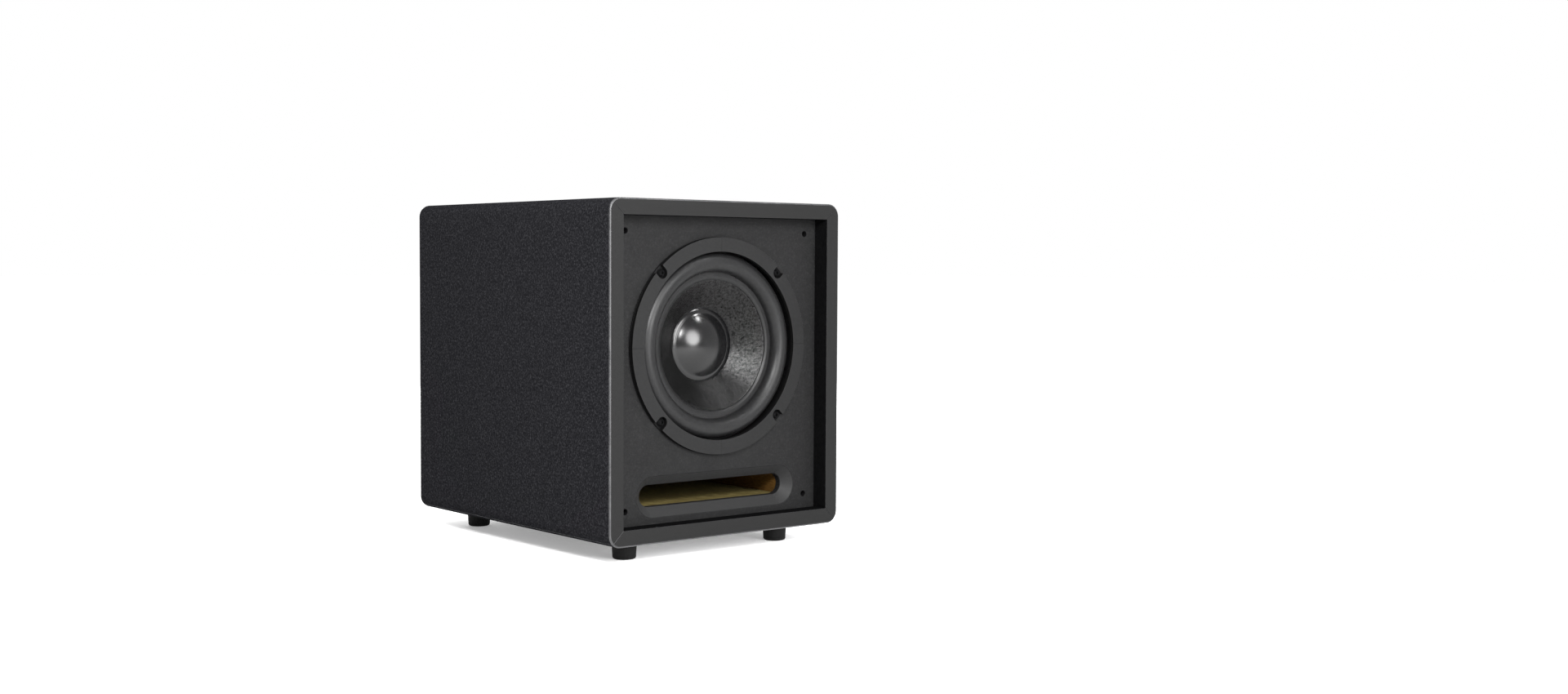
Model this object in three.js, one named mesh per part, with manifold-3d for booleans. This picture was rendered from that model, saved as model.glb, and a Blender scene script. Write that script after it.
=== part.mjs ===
// A small powered subwoofer for the home or studio: a mitred wooden cabinet with a recessed front
// baffle, an eight-inch driver over a slot port, and an amplifier plate let into the back.
// Millimetres, +Z up. The front faces -Y. The origin is on the floor under the cabinet's middle.
import * as THREE from "three";
import { mergeVertices } from "three/addons/utils/BufferGeometryUtils.js";
import Module from "manifold-3d";

const wasm = await Module();
wasm.setup();

// ---- Driving dimensions -----------------------------------------------------------------------

const cabinet = { width: 270, depth: 345, height: 312, board: 15, edgeRadius: 12, mitreGap: 0.15 };
const foot = { height: 18, radius: 12, insetX: 45, insetY: 42 };
const front = -cabinet.depth / 2;
const back = cabinet.depth / 2;
const floorZ = foot.height;
const topZ = floorZ + cabinet.height;
const insideX = cabinet.width / 2 - cabinet.board;
const insideLow = floorZ + cabinet.board;
const insideHigh = topZ - cabinet.board;

const recess = { front: 18, back: 18 };
const baffleFront = front + recess.front;
const baffleBack = baffleFront + cabinet.board;
const rearPanelBack = back - recess.back;
const rearPanelFront = rearPanelBack - cabinet.board;
const peg = { x: 106, z: 127, radius: 2.6, depth: 11 };

const port = { halfWidth: 84, height: 20, chamfer: 9.25, length: 200, floor: 15, roof: 12 };
const portLow = insideLow + port.floor;
const portHigh = portLow + port.height;
const portEnd = baffleBack + port.length;

const driver = { z: 194.7, flange: 102, cutout: 92.5, boltCircle: 96.5, boltAngle: 45 };
const flangeFront = baffleFront - 1.5;
const gasket = { inner: 88.3, outer: 101.7, front: baffleFront - 5.4, gap: 0.3, pocket: 5.2 };
const landing = baffleFront + 7.6;
const roll = { inner: 62, middle: 78.4, radius: 9.4, thickness: 1 };
const cone = { neck: 19.5, edge: 61.7, lip: 68.5, neckY: front + 53.3, thickness: 1.2 };
const cap = { radius: 30, flange: 35.4, height: 9.4, thickness: 0.8 };
const coil = { formerInner: 18.7, formerOuter: 19.1, windingInner: 19.2, windingOuter: 20.2 };
const motor = { front: baffleFront + 64.5, plate: 6, magnet: 18, yoke: 6, radius: 56, magnetRadius: 62 };
const spiderY = motor.front - 13.5;
const roundness = 36; // sides of the driver's large rings

const plate = { width: 176, height: 220, corner: 5, thickness: 3, z: floorZ + 156.5 };
const plateFront = rearPanelBack;
const plateBack = plateFront + plate.thickness;
const behindPlate = plateFront - 0.3;
const ampCutout = { halfWidth: 74, halfHeight: 97 };
const controlX = 36.9;
const knob = { radius: 7.6, end: back - 0.5, count: 4, lowestZ: floorZ + 168.1, pitch: 24.63, pointsAt: 130 };
const shaft = { radius: 2.4, bore: 2.7, bushing: 3.3, inner: plateFront - 4 };
const led = { x: 29.5, z: floorZ + 203.6, radius: 1.6 };
const jack = { radius: 4.2, hole: 1.5, body: 6.9, pitch: 14.1, z: floorZ + 132.5 };
const heatsink = { x: -35.4, z: floorZ + 188.9, width: 47.4, height: 99.4, fins: 7, fin: 1.8, end: plateBack + 9.5 };
const rockerSwitch = { x: 53.4, z: floorZ + 109.4, width: 20.6, height: 15.4, pivotY: plateBack - 1.5, tilt: 10 };
const inlet = { x: 53, z: floorZ + 81.2, width: 29, height: 34, ear: 23, proud: 3.5 };
const socket = { z: inlet.z + 4.9, halfWidth: 12.1, halfHeight: 8.3, floor: plateBack - 12.5 };
const drawer = { z: inlet.z - 10.3, halfWidth: 11, halfHeight: 4.1, depth: 15 };
const transformer = { x: -19.9, z: floorZ + 98, halfWidth: 40, depth: 66, stack: 15 };
const board = { front: behindPlate - 18, thickness: 1.6 };

// ---- Finishes: colour, roughness, metalness ---------------------------------------------------

const finishes = {
  paint: [0x1b1d20, 0.62, 0],
  baffle: [0x2b2c2e, 0.75, 0],
  mdf: [0xa5835a, 0.85, 0],
  rubber: [0x141414, 0.8, 0],
  gasket: [0x3d3f42, 0.5, 0],
  surround: [0x101113, 0.45, 0],
  cone: [0x0c0c0e, 0.3, 0],
  steel: [0x1a1a1c, 0.45, 0.6],
  zinc: [0xb4b6b8, 0.35, 0.9],
  ferrite: [0x2c2c2e, 0.7, 0.1],
  copper: [0xb06a38, 0.4, 0.9],
  kapton: [0xb58a3a, 0.5, 0],
  linen: [0xc2a878, 0.9, 0],
  plate: [0x131416, 0.38, 0.8],
  circuit: [0x1f5a35, 0.5, 0],
  plastic: [0x161618, 0.5, 0],
  chrome: [0xd8dadc, 0.15, 1],
  red: [0xc01812, 0.3, 0],
  white: [0xe8e8e6, 0.4, 0],
  glass: [0xdfe8e8, 0.1, 0],
};

const model = new THREE.Group();

// ---- Solids -----------------------------------------------------------------------------------

// A closed three.js geometry as a manifold solid, turned the right way out.
function solidOf(geometry) {
  geometry.deleteAttribute("normal");
  geometry.deleteAttribute("uv");
  const merged = mergeVertices(geometry, 1e-4);
  const corners = Array.from(merged.index.array);
  const kept = [];
  for (let i = 0; i < corners.length; i += 3) {
    const [a, b, c] = corners.slice(i, i + 3);
    if (a !== b && b !== c && a !== c) kept.push(a, b, c);
  }
  const vertProperties = new Float32Array(merged.attributes.position.array);
  return new wasm.Manifold(new wasm.Mesh({ numProp: 3, vertProperties, triVerts: new Uint32Array(kept) }));
}

function joined(first, ...others) {
  return others.reduce((sum, solid) => sum.add(solid), first);
}

function cut(solid, ...tools) {
  return tools.reduce((rest, tool) => rest.subtract(tool), solid);
}

function box([x0, x1], [y0, y1], [z0, z1]) {
  const geometry = new THREE.BoxGeometry(x1 - x0, y1 - y0, z1 - z0);
  return solidOf(geometry.translate((x0 + x1) / 2, (y0 + y1) / 2, (z0 + z1) / 2));
}

// An outline drawn in X and Z, run along Y.
function prism(shape, y0, y1, curveSegments = 6) {
  const geometry = new THREE.ExtrudeGeometry(shape, { depth: y1 - y0, bevelEnabled: false, curveSegments });
  return solidOf(geometry.rotateX(Math.PI / 2).translate(0, y1, 0));
}

// A closed profile of [radius, y] points turned about an axis along Y.
function turned(profile, x, z, segments = 16) {
  const points = profile.map(([r, y]) => new THREE.Vector2(r, y));
  if (THREE.ShapeUtils.area(points) < 0) points.reverse();
  points.push(points[0].clone());
  return solidOf(new THREE.LatheGeometry(points, segments).translate(x, 0, z));
}

function rod(radius, y0, y1, x, z, segments = 16) {
  return turned([[0, y0], [radius, y0], [radius, y1], [0, y1]], x, z, segments);
}

// A closed profile of [radius, z] points turned about an upright axis.
function turnedUpright(profile, x, y, segments = 16) {
  const points = profile.map(([r, z]) => new THREE.Vector2(r, z));
  points.push(points[0].clone());
  return solidOf(new THREE.LatheGeometry(points, segments).rotateX(Math.PI / 2).translate(x, y, 0));
}

function rectangle(width, height, x = 0, z = 0, corner = 0) {
  const shape = new THREE.Shape();
  const [left, right, low, high] = [x - width / 2, x + width / 2, z - height / 2, z + height / 2];
  if (corner === 0) {
    return shape.moveTo(left, low).lineTo(right, low).lineTo(right, high).lineTo(left, high);
  }
  shape.absarc(right - corner, low + corner, corner, -Math.PI / 2, 0);
  shape.absarc(right - corner, high - corner, corner, 0, Math.PI / 2);
  shape.absarc(left + corner, high - corner, corner, Math.PI / 2, Math.PI);
  return shape.absarc(left + corner, low + corner, corner, Math.PI, Math.PI * 1.5);
}

function polygon(points) {
  return new THREE.Shape(points.map(([x, z]) => new THREE.Vector2(x, z)));
}

// Points of an arc in a turned profile, angles in degrees from the outward radius.
function arc(r, y, radius, from, to, steps) {
  return Array.from({ length: steps + 1 }, (_, i) => {
    const angle = THREE.MathUtils.degToRad(from + ((to - from) * i) / steps);
    return [r + radius * Math.cos(angle), y + radius * Math.sin(angle)];
  });
}

function piece(name, solid, [color, roughness, metalness]) {
  const { vertProperties, triVerts } = solid.getMesh();
  const geometry = new THREE.BufferGeometry();
  geometry.setAttribute("position", new THREE.BufferAttribute(vertProperties, 3));
  geometry.setIndex(new THREE.BufferAttribute(triVerts, 1));
  const mesh = new THREE.Mesh(geometry, new THREE.MeshStandardMaterial({ color, roughness, metalness }));
  mesh.name = name;
  model.add(mesh);
}

// ---- Cabinet ----------------------------------------------------------------------------------

// One of the four long boards: mitred at both ends, with half of each rounded corner.
// It is drawn as the top board, and turned about the cabinet's axis for the others.
function mitredBoard(span, quarterTurns, x, z) {
  const { board: thick, edgeRadius: radius, mitreGap } = cabinet;
  const slip = Math.asin(mitreGap / radius);
  const end = span / 2 - radius;
  const inner = span / 2 - thick - mitreGap * Math.SQRT2;
  const outline = new THREE.Shape();
  outline.moveTo(-inner, -thick);
  outline.lineTo(inner, -thick);
  outline.absarc(end, -radius, radius, Math.PI / 4 + slip, Math.PI / 2);
  outline.absarc(-end, -radius, radius, Math.PI / 2, Math.PI * 0.75 - slip);
  const geometry = new THREE.ExtrudeGeometry(outline, {
    depth: cabinet.depth,
    bevelEnabled: false,
    curveSegments: 6,
  });
  geometry.rotateX(Math.PI / 2).translate(0, back, 0);
  return solidOf(geometry.rotateY((quarterTurns * Math.PI) / 2).translate(x, 0, z));
}

function makeCabinet() {
  const { width, height } = cabinet;
  const middle = (floorZ + topZ) / 2;
  piece("cabinet_top", mitredBoard(width, 0, 0, topZ), finishes.paint);
  piece("cabinet_right_side", mitredBoard(height, 1, width / 2, middle), finishes.paint);
  piece("cabinet_bottom", mitredBoard(width, 2, 0, floorZ), finishes.paint);
  piece("cabinet_left_side", mitredBoard(height, 3, -width / 2, middle), finishes.paint);
}

// The slot is as wide and as high as the duct behind it, with round ends and a deep chamfer.
function slotTool() {
  const z = (portLow + portHigh) / 2;
  const radius = port.height / 2;
  const shape = rectangle(port.halfWidth * 2, port.height, 0, z, radius - 0.01);
  const straight = prism(shape, baffleFront - 1, baffleBack + 1);
  const flare = new THREE.ExtrudeGeometry(shape, {
    depth: 0.02,
    bevelEnabled: true,
    bevelSegments: 1,
    bevelSize: port.chamfer,
    bevelThickness: port.chamfer,
    curveSegments: 6,
  });
  return joined(straight, solidOf(flare.rotateX(Math.PI / 2).translate(0, baffleFront, 0)));
}

function makeBaffle() {
  const sheet = box([-insideX, insideX], [baffleFront, baffleBack], [insideLow, insideHigh]);
  const middle = (insideLow + insideHigh) / 2;
  const tools = [slotTool(), rod(driver.cutout, baffleFront - 1, baffleBack + 1, 0, driver.z, roundness)];
  for (const [x, z] of [[-1, -1], [1, -1], [1, 1], [-1, 1]]) {
    tools.push(rod(peg.radius, baffleFront - 1, baffleFront + peg.depth, x * peg.x, middle + z * peg.z, 12));
  }
  for (const [x, z] of boltPlaces()) {
    tools.push(rod(2.2, baffleFront - 1, baffleBack + 1, x, z, 8));
  }
  piece("front_baffle", cut(sheet, ...tools), finishes.baffle);
}

function makeRearPanel() {
  const sheet = box([-insideX, insideX], [rearPanelFront, rearPanelBack], [insideLow, insideHigh]);
  const { halfWidth, halfHeight } = ampCutout;
  const opening = rectangle(halfWidth * 2, halfHeight * 2, 0, plate.z);
  piece("rear_panel", cut(sheet, prism(opening, rearPanelFront - 1, rearPanelBack + 1)), finishes.baffle);
}

function makePort() {
  const run = [baffleBack, portEnd];
  piece("port_floor", box([-insideX, insideX], run, [insideLow, portLow]), finishes.mdf);
  piece("port_left_cheek", box([-insideX, -port.halfWidth], run, [portLow, portHigh]), finishes.mdf);
  piece("port_right_cheek", box([port.halfWidth, insideX], run, [portLow, portHigh]), finishes.mdf);
  piece("port_roof", box([-insideX, insideX], run, [portHigh, portHigh + port.roof]), finishes.mdf);
}

// Soft rubber feet, each with a sunk hole for the screw that holds it.
function makeFeet() {
  const x = cabinet.width / 2 - foot.insetX;
  const y = cabinet.depth / 2 - foot.insetY;
  const profile = [
    [5, 0],
    [foot.radius - 2.4, 0],
    [foot.radius - 1.1, 1.4],
    [foot.radius, foot.height],
    [2.4, foot.height],
    [2.4, 9],
    [5, 9],
  ];
  const places = { front_left: [-x, -y], front_right: [x, -y], rear_left: [-x, y], rear_right: [x, y] };
  for (const [name, [fx, fy]] of Object.entries(places)) {
    piece("foot_" + name, turnedUpright(profile, fx, fy), finishes.rubber);
  }
}

// ---- Driver -----------------------------------------------------------------------------------

function boltPlaces() {
  return [0, 1, 2, 3].map((i) => {
    const angle = THREE.MathUtils.degToRad(driver.boltAngle + 90 * i);
    return [driver.boltCircle * Math.cos(angle), driver.z + driver.boltCircle * Math.sin(angle)];
  });
}

// A flat sector between two radii about the driver's axis.
function sector(inner, outer, middle, half, y0, y1) {
  const shape = new THREE.Shape();
  const [from, to] = [middle - half, middle + half].map(THREE.MathUtils.degToRad);
  shape.absarc(0, driver.z, outer, from, to);
  shape.absarc(0, driver.z, inner, to, from, true);
  return prism(shape, y0, y1, 6);
}

// Pressed steel: a flange, a ledge for the surround, four windows, a ledge for the spider, a base.
function makeBasket() {
  const sheet = 1.5;
  const spiderLedge = spiderY + 0.5;
  const profile = [
    [driver.flange, flangeFront],
    [driver.flange, baffleFront],
    [91.2, baffleFront],
    [91.2, landing + sheet],
    [84.5, landing + sheet],
    [64, spiderLedge + sheet],
    [56.5, spiderLedge + sheet],
    [56.5, motor.front],
    [24, motor.front],
    [24, motor.front - sheet],
    [55, motor.front - sheet],
    [55, spiderLedge],
    [63.2, spiderLedge],
    [83.6, landing],
    [89.7, landing],
    [89.7, flangeFront],
  ];
  const windows = [45, 135, 225, 315].map((a) => sector(66.5, 82, a, 34, landing + 3, spiderLedge));
  const holes = boltPlaces().map(([x, z]) => rod(2.3, flangeFront - 1, baffleFront + 1, x, z, 8));
  piece("driver_basket", cut(turned(profile, 0, driver.z, roundness), ...windows, ...holes), finishes.steel);
}

// The trim ring is four quarters, each open around one screw.
function makeGasket() {
  const names = ["upper_right", "upper_left", "lower_left", "lower_right"];
  const halfGap = THREE.MathUtils.radToDeg(gasket.gap / gasket.outer);
  boltPlaces().forEach(([x, z], i) => {
    const angle = driver.boltAngle + 90 * i;
    const pocket = rod(gasket.pocket, gasket.front - 1, flangeFront + 1, x, z, 16);
    const mouth = sector(driver.boltCircle, 110, angle, 3.05, gasket.front - 1, flangeFront + 1);
    const quarter = sector(gasket.inner, gasket.outer, angle, 45 - halfGap, gasket.front, flangeFront);
    piece("trim_ring_" + names[i], cut(quarter, pocket, mouth), finishes.gasket);
  });
}

function makeSurround() {
  const { inner, middle, radius, thickness } = roll;
  const ledgeEnd = 89.4;
  const profile = [
    [inner, landing - thickness],
    ...arc(middle, landing - thickness / 2, radius, -176, -4, 6),
    [ledgeEnd, landing - thickness],
    [ledgeEnd, landing],
    ...arc(middle, landing - thickness / 2, radius - thickness, -4, -176, 6),
    [inner, landing],
  ];
  piece("surround", turned(profile, 0, driver.z, roundness), finishes.surround);
}

function makeCone() {
  const { neck, edge, lip, neckY, thickness } = cone;
  const profile = [
    [neck, neckY],
    [edge, landing],
    [lip, landing],
    [lip, landing + 1],
    [edge + 0.5, landing + 1],
    [neck, neckY + thickness],
  ];
  piece("cone", turned(profile, 0, driver.z, roundness), finishes.cone);
}

function coneFace(r) {
  return cone.neckY + ((landing - cone.neckY) * (r - cone.neck)) / (cone.edge - cone.neck);
}

// A spherical cap whose narrow flange is glued to the face of the cone.
function makeDustCap() {
  const { radius, flange, height, thickness } = cap;
  const seat = coneFace(flange) - 0.25;
  const rim = seat + 0.9;
  const sphere = (radius ** 2 + height ** 2) / (2 * height);
  const centre = rim - height + sphere;
  const half = THREE.MathUtils.radToDeg(Math.asin(radius / sphere));
  const profile = [
    ...arc(0, centre, sphere, -90, half - 90, 4),
    [flange, seat - thickness],
    [flange, seat],
    ...arc(0, centre, sphere - thickness, half - 90, -90, 4),
  ];
  piece("dust_cap", turned(profile, 0, driver.z, roundness), finishes.cone);
}

function makeVoiceCoil() {
  const { formerInner, formerOuter, windingInner, windingOuter } = coil;
  const gapMiddle = motor.front + motor.plate / 2;
  const tube = (inner, outer, y0, y1) =>
    turned([[inner, y0], [outer, y0], [outer, y1], [inner, y1]], 0, driver.z, 24);
  piece("coil_former", tube(formerInner, formerOuter, cone.neckY - 1.5, gapMiddle + 11), finishes.kapton);
  piece("voice_coil", tube(windingInner, windingOuter, gapMiddle - 9, gapMiddle + 9), finishes.copper);
}

// The spider is a disc of stiffened cloth in even ripples, glued to the former and its ledge.
function makeSpider() {
  const [inner, outer, ripples, thickness] = [19.4, 61.5, 3, 0.8];
  const steps = ripples * 3;
  const wave = Array.from({ length: steps + 1 }, (_, i) => {
    const share = i / steps;
    return [inner + (outer - inner) * share, spiderY - 0.3 + 1.4 * Math.sin(share * ripples * 2 * Math.PI)];
  });
  const rear = wave.map(([r, y]) => [r, y + thickness]).reverse();
  piece("spider", turned([...wave, ...rear], 0, driver.z, 24), finishes.linen);
}

function makeMotor() {
  const { front: start, plate: plateDepth, magnet, yoke, radius, magnetRadius } = motor;
  const magnetFront = start + plateDepth;
  const yokeFront = magnetFront + magnet;
  const ring = (inner, outer, y0, y1) =>
    turned([[inner, y0], [outer, y0], [outer, y1], [inner, y1]], 0, driver.z, 24);
  piece("motor_top_plate", ring(21.2, radius, start, magnetFront), finishes.zinc);
  piece("motor_magnet", ring(34, magnetRadius, magnetFront, yokeFront), finishes.ferrite);
  const yokeProfile = [
    [5, start - 2],
    [18, start - 2],
    [18, yokeFront],
    [radius, yokeFront],
    [radius, yokeFront + yoke],
    [5, yokeFront + yoke],
  ];
  piece("motor_yoke", turned(yokeProfile, 0, driver.z, 24), finishes.zinc);
}

function makeDriverTerminal() {
  const [x0, x1] = [-88, -79];
  const strip = box([x0, x1], [landing + 14, landing + 26], [driver.z - 11, driver.z + 11]);
  const tags = [-6, 6].map((z) =>
    box([x0 - 8, x0 + 1], [landing + 17, landing + 23], [driver.z + z - 0.4, driver.z + z + 0.4]),
  );
  piece("driver_terminal", joined(strip, ...tags), finishes.plastic);
}

function makeDriverScrews() {
  const [headRadius, shankRadius] = [3.8, 1.9];
  const profile = [
    [0, flangeFront - 2.8],
    [2.6, flangeFront - 2.8],
    [headRadius, flangeFront - 1.2],
    [headRadius, flangeFront],
    [shankRadius, flangeFront],
    [shankRadius, baffleBack - 1.5],
    [0, baffleBack],
  ];
  boltPlaces().forEach(([x, z], i) => {
    piece("driver_screw_" + (i + 1), turned(profile, x, z, 12), finishes.steel);
  });
}

// ---- Amplifier --------------------------------------------------------------------------------
// Seen from behind, the controls are on the left, which is +X.

function knobHeights() {
  return Array.from({ length: knob.count }, (_, i) => knob.lowestZ + knob.pitch * (knob.count - 1 - i));
}

function jackPlaces() {
  return { white: controlX + jack.pitch / 2, red: controlX - jack.pitch / 2 };
}

function makePlate() {
  const through = [plateFront - 1, plateBack + 1];
  const slab = prism(rectangle(plate.width, plate.height, 0, plate.z, plate.corner), plateFront, plateBack);
  const openings = [
    rectangle(heatsink.width + 0.8, heatsink.height + 0.8, heatsink.x, heatsink.z),
    rectangle(rockerSwitch.width - 1.2, rockerSwitch.height - 1.6, rockerSwitch.x, rockerSwitch.z),
    rectangle(inlet.width - 1.2, inlet.height - 2.2, inlet.x, inlet.z),
  ];
  const tools = openings.map((shape) => prism(shape, ...through));
  knobHeights().forEach((z) => tools.push(rod(shaft.bushing + 0.3, ...through, controlX, z, 16)));
  tools.push(rod(led.radius + 0.3, ...through, led.x, led.z, 12));
  Object.values(jackPlaces()).forEach((x) => tools.push(rod(jack.radius + 0.3, ...through, x, jack.z, 16)));
  piece("amplifier_plate", cut(slab, ...tools), finishes.plate);
}

// An extrusion clamped behind the plate, its upright fins standing out through a window.
function makeHeatsink() {
  const { x, z, width, height, fins, fin, end } = heatsink;
  const rows = [z - height / 2, z + height / 2];
  const flange = box([x - width / 2 - 3.5, x + width / 2 + 3.5], [behindPlate - 3, behindPlate], [
    rows[0] - 3.5,
    rows[1] + 3.5,
  ]);
  const block = box([x - width / 2, x + width / 2], [behindPlate - 1, plateBack - 0.5], rows);
  const blades = Array.from({ length: fins }, (_, i) => {
    const left = x - width / 2 + ((width - fin) * i) / (fins - 1);
    return box([left, left + fin], [plateBack - 1, end], rows);
  });
  piece("heatsink", joined(flange, block, ...blades), finishes.plastic);
}

function makeBoards() {
  const [y0, y1] = [board.front, board.front + board.thickness];
  const standoffs = [161.4, 137.5].map((z) => rod(3, y1 - 1, behindPlate, 11.8, floorZ + z, 12));
  const main = box([-78, 18], [y0, y1], [floorZ + 133, floorZ + 248]);
  piece("power_board", joined(main, ...standoffs), finishes.circuit);
  const preampBack = behindPlate - 9.2;
  const preamp = [knob.lowestZ - 12, knob.lowestZ + knob.pitch * 3 + 10];
  piece("preamp_board", box([22, 60], [preampBack - 1.6, preampBack], preamp), finishes.circuit);
  for (const [i, x] of [-14, -40].entries()) {
    const can = rod(11, y0 - 35, y0, x, floorZ + 226, 20);
    piece("reservoir_capacitor_" + (i + 1), can, finishes.plastic);
  }
}

// A stack of E and I sheets stands on its edge, with its winding round the middle limb.
function makeTransformer() {
  const { x, z, halfWidth, depth, stack } = transformer;
  const [y0, y1] = [behindPlate - depth, behindPlate];
  const middle = (y0 + y1) / 2;
  const windowY = [middle - 20, middle + 20];
  const sides = [-1, 1];
  const windows = sides.map((side) => {
    const [near, far] = [x + side * 13.3, x + side * 26.7];
    return box([Math.min(near, far), Math.max(near, far)], windowY, [z - stack - 1, z + stack + 1]);
  });
  const core = box([x - halfWidth, x + halfWidth], [y0, y1], [z - stack, z + stack]);
  piece("transformer_core", cut(core, ...windows), finishes.steel);
  const wound = box([x - 26.3, x + 26.3], [middle - 19.6, middle + 19.6], [z - 26, z + 26]);
  const limb = box([x - 13.7, x + 13.7], [middle - 21, middle + 21], [z - stack - 0.4, z + stack + 0.4]);
  piece("transformer_winding", cut(wound, limb), finishes.copper);
  const [inner, outer, ear] = [halfWidth + 0.3, halfWidth + 1.8, 52];
  const low = [z - 12, z + 12];
  const strap = [
    box([x - outer, x + outer], [y0 - 1.8, y0 - 0.3], low),
    ...sides.map((side) => {
      const [a, b] = [x + side * inner, x + side * outer];
      return box([Math.min(a, b), Math.max(a, b)], [y0 - 1, y1], low);
    }),
    ...sides.map((side) => {
      const [a, b] = [x + side * (inner + 0.5), x + side * ear];
      return box([Math.min(a, b), Math.max(a, b)], [y1 - 1.5, y1], low);
    }),
  ];
  piece("transformer_bracket", joined(...strap), finishes.zinc);
}

const controlNames = ["level", "low_cut", "high_cut", "phase"];

function makeControls() {
  const bodyFront = behindPlate - 8.9;
  knobHeights().forEach((z, i) => {
    const pot = [
      [0, bodyFront],
      [8, bodyFront],
      [8, behindPlate],
      [shaft.bushing, behindPlate],
      [shaft.bushing, plateBack + 2],
      [shaft.bore, plateBack + 2],
      [shaft.bore, shaft.inner - 0.5],
      [0, shaft.inner - 0.5],
    ];
    piece(controlNames[i] + "_potentiometer", turned(pot, controlX, z, 12), finishes.zinc);
    piece(controlNames[i] + "_knob", knobSolid(z), finishes.plastic);
  });
}

// A plain round knob on its shaft. The groove across its face is the pointer.
function knobSolid(z) {
  const { radius, end, pointsAt } = knob;
  const profile = [
    [0, shaft.inner],
    [shaft.radius, shaft.inner],
    [shaft.radius, plateBack + 3.5],
    [4, plateBack + 3.5],
    [4, plateBack + 1],
    [radius - 0.2, plateBack + 1],
    [radius, end - 0.7],
    [radius - 0.7, end],
    [0, end],
  ];
  const groove = new THREE.BoxGeometry(1.2, 1, radius).translate(0, end, radius / 2 + 0.6);
  groove.rotateY(THREE.MathUtils.degToRad(-pointsAt)).translate(controlX, 0, z);
  return cut(turned(profile, controlX, z), solidOf(groove));
}

function makeLampAndJacks() {
  const { radius } = led;
  const lens = [
    [0, behindPlate - 4],
    [radius, behindPlate - 4],
    [radius, plateBack + 0.6],
    [radius * 0.7, plateBack + 1.5],
    [0, plateBack + 1.9],
  ];
  piece("power_lamp", turned(lens, led.x, led.z, 12), finishes.red);
  const profile = [
    [0, behindPlate - 12],
    [jack.body, behindPlate - 12],
    [jack.body, behindPlate],
    [jack.radius, behindPlate],
    [jack.radius, plateBack + 1.6],
    [jack.hole, plateBack + 1.6],
    [jack.hole, behindPlate - 6],
    [0, behindPlate - 6],
  ];
  for (const [name, x] of Object.entries(jackPlaces())) {
    piece("input_jack_" + name, turned(profile, x, jack.z), finishes[name]);
  }
}

function makeRocker() {
  const { x, z, width, height, pivotY, tilt } = rockerSwitch;
  const bezel = prism(rectangle(width, height, x, z, 1), plateBack, plateBack + 1.8, 2);
  const body = prism(rectangle(width - 2, height - 2.4, x, z), plateFront - 11, plateBack + 0.5);
  const pocket = prism(rectangle(width - 3.6, height - 4.4, x, z), plateFront - 8, plateBack + 3);
  piece("switch_housing", cut(joined(body, bezel), pocket), finishes.plastic);
  const [halfLength, halfHeight] = [7.6, 5.1];
  const outline = polygon([
    [-5.5, -4.5],
    [5.5, -4.5],
    [halfLength, 3.6],
    [0, 2.2],
    [-halfLength, 3.6],
  ]);
  const geometry = new THREE.ExtrudeGeometry(outline, { depth: halfHeight * 2, bevelEnabled: false });
  geometry.translate(0, 0, -halfHeight);
  geometry.rotateZ(THREE.MathUtils.degToRad(-tilt)).translate(x, pivotY, z);
  piece("switch_rocker", solidOf(geometry), finishes.plastic);
}

// The mains inlet has a proud block with ears, three blades in its socket, and a drawer below.
function makeInlet() {
  const { x, z, width, height, ear, proud } = inlet;
  const blockBack = plateBack + proud;
  const hexagon = polygon([
    [x - width / 2, z - height / 2],
    [x + width / 2, z - height / 2],
    [x + ear, z - 3],
    [x + ear, z + 3],
    [x + width / 2, z + height / 2],
    [x - width / 2, z + height / 2],
    [x - ear, z + 3],
    [x - ear, z - 3],
  ]);
  const shell = joined(
    prism(hexagon, plateBack, plateBack + 1.8),
    prism(rectangle(width, height, x, z), plateBack, blockBack),
    prism(rectangle(width - 2, height - 3, x, z), plateFront - 19, plateBack + 0.5),
  );
  const { halfWidth, halfHeight, floor } = socket;
  const corner = 4.2;
  const mouth = polygon([
    [x - halfWidth, socket.z - halfHeight],
    [x + halfWidth, socket.z - halfHeight],
    [x + halfWidth, socket.z + halfHeight - corner],
    [x + halfWidth - corner, socket.z + halfHeight],
    [x - halfWidth + corner, socket.z + halfHeight],
    [x - halfWidth, socket.z + halfHeight - corner],
  ]);
  const slide = rectangle(drawer.halfWidth * 2 + 0.8, drawer.halfHeight * 2 + 0.6, x, drawer.z);
  const hollow = cut(
    shell,
    prism(mouth, floor, blockBack + 1),
    prism(slide, blockBack - drawer.depth - 0.5, blockBack + 1),
  );
  const blades = [[-7, -2.2], [7, -2.2], [0, 2.6]].map(([dx, dz]) =>
    box([x + dx - 1, x + dx + 1], [floor - 1, blockBack - 4.5], [socket.z + dz - 2, socket.z + dz + 2]),
  );
  piece("mains_inlet", joined(hollow, ...blades), finishes.plastic);
  makeFuseDrawer(x, blockBack);
}

function makeFuseDrawer(x, face) {
  const { z, halfWidth, halfHeight, depth } = drawer;
  const fuseY = face - depth + 5;
  const tray = box([x - halfWidth, x + halfWidth], [face - depth, face], [z - halfHeight, z + halfHeight]);
  const bed = box([x - 10.3, x + 10.3], [fuseY - 3, fuseY + 3], [z - 3.2, z + halfHeight + 1]);
  piece("fuse_drawer", cut(tray, bed), finishes.plastic);
  const tube = new THREE.CylinderGeometry(2.5, 2.5, 20, 16).rotateZ(Math.PI / 2).translate(x, fuseY, z - 0.5);
  piece("fuse", solidOf(tube), finishes.glass);
}

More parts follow.
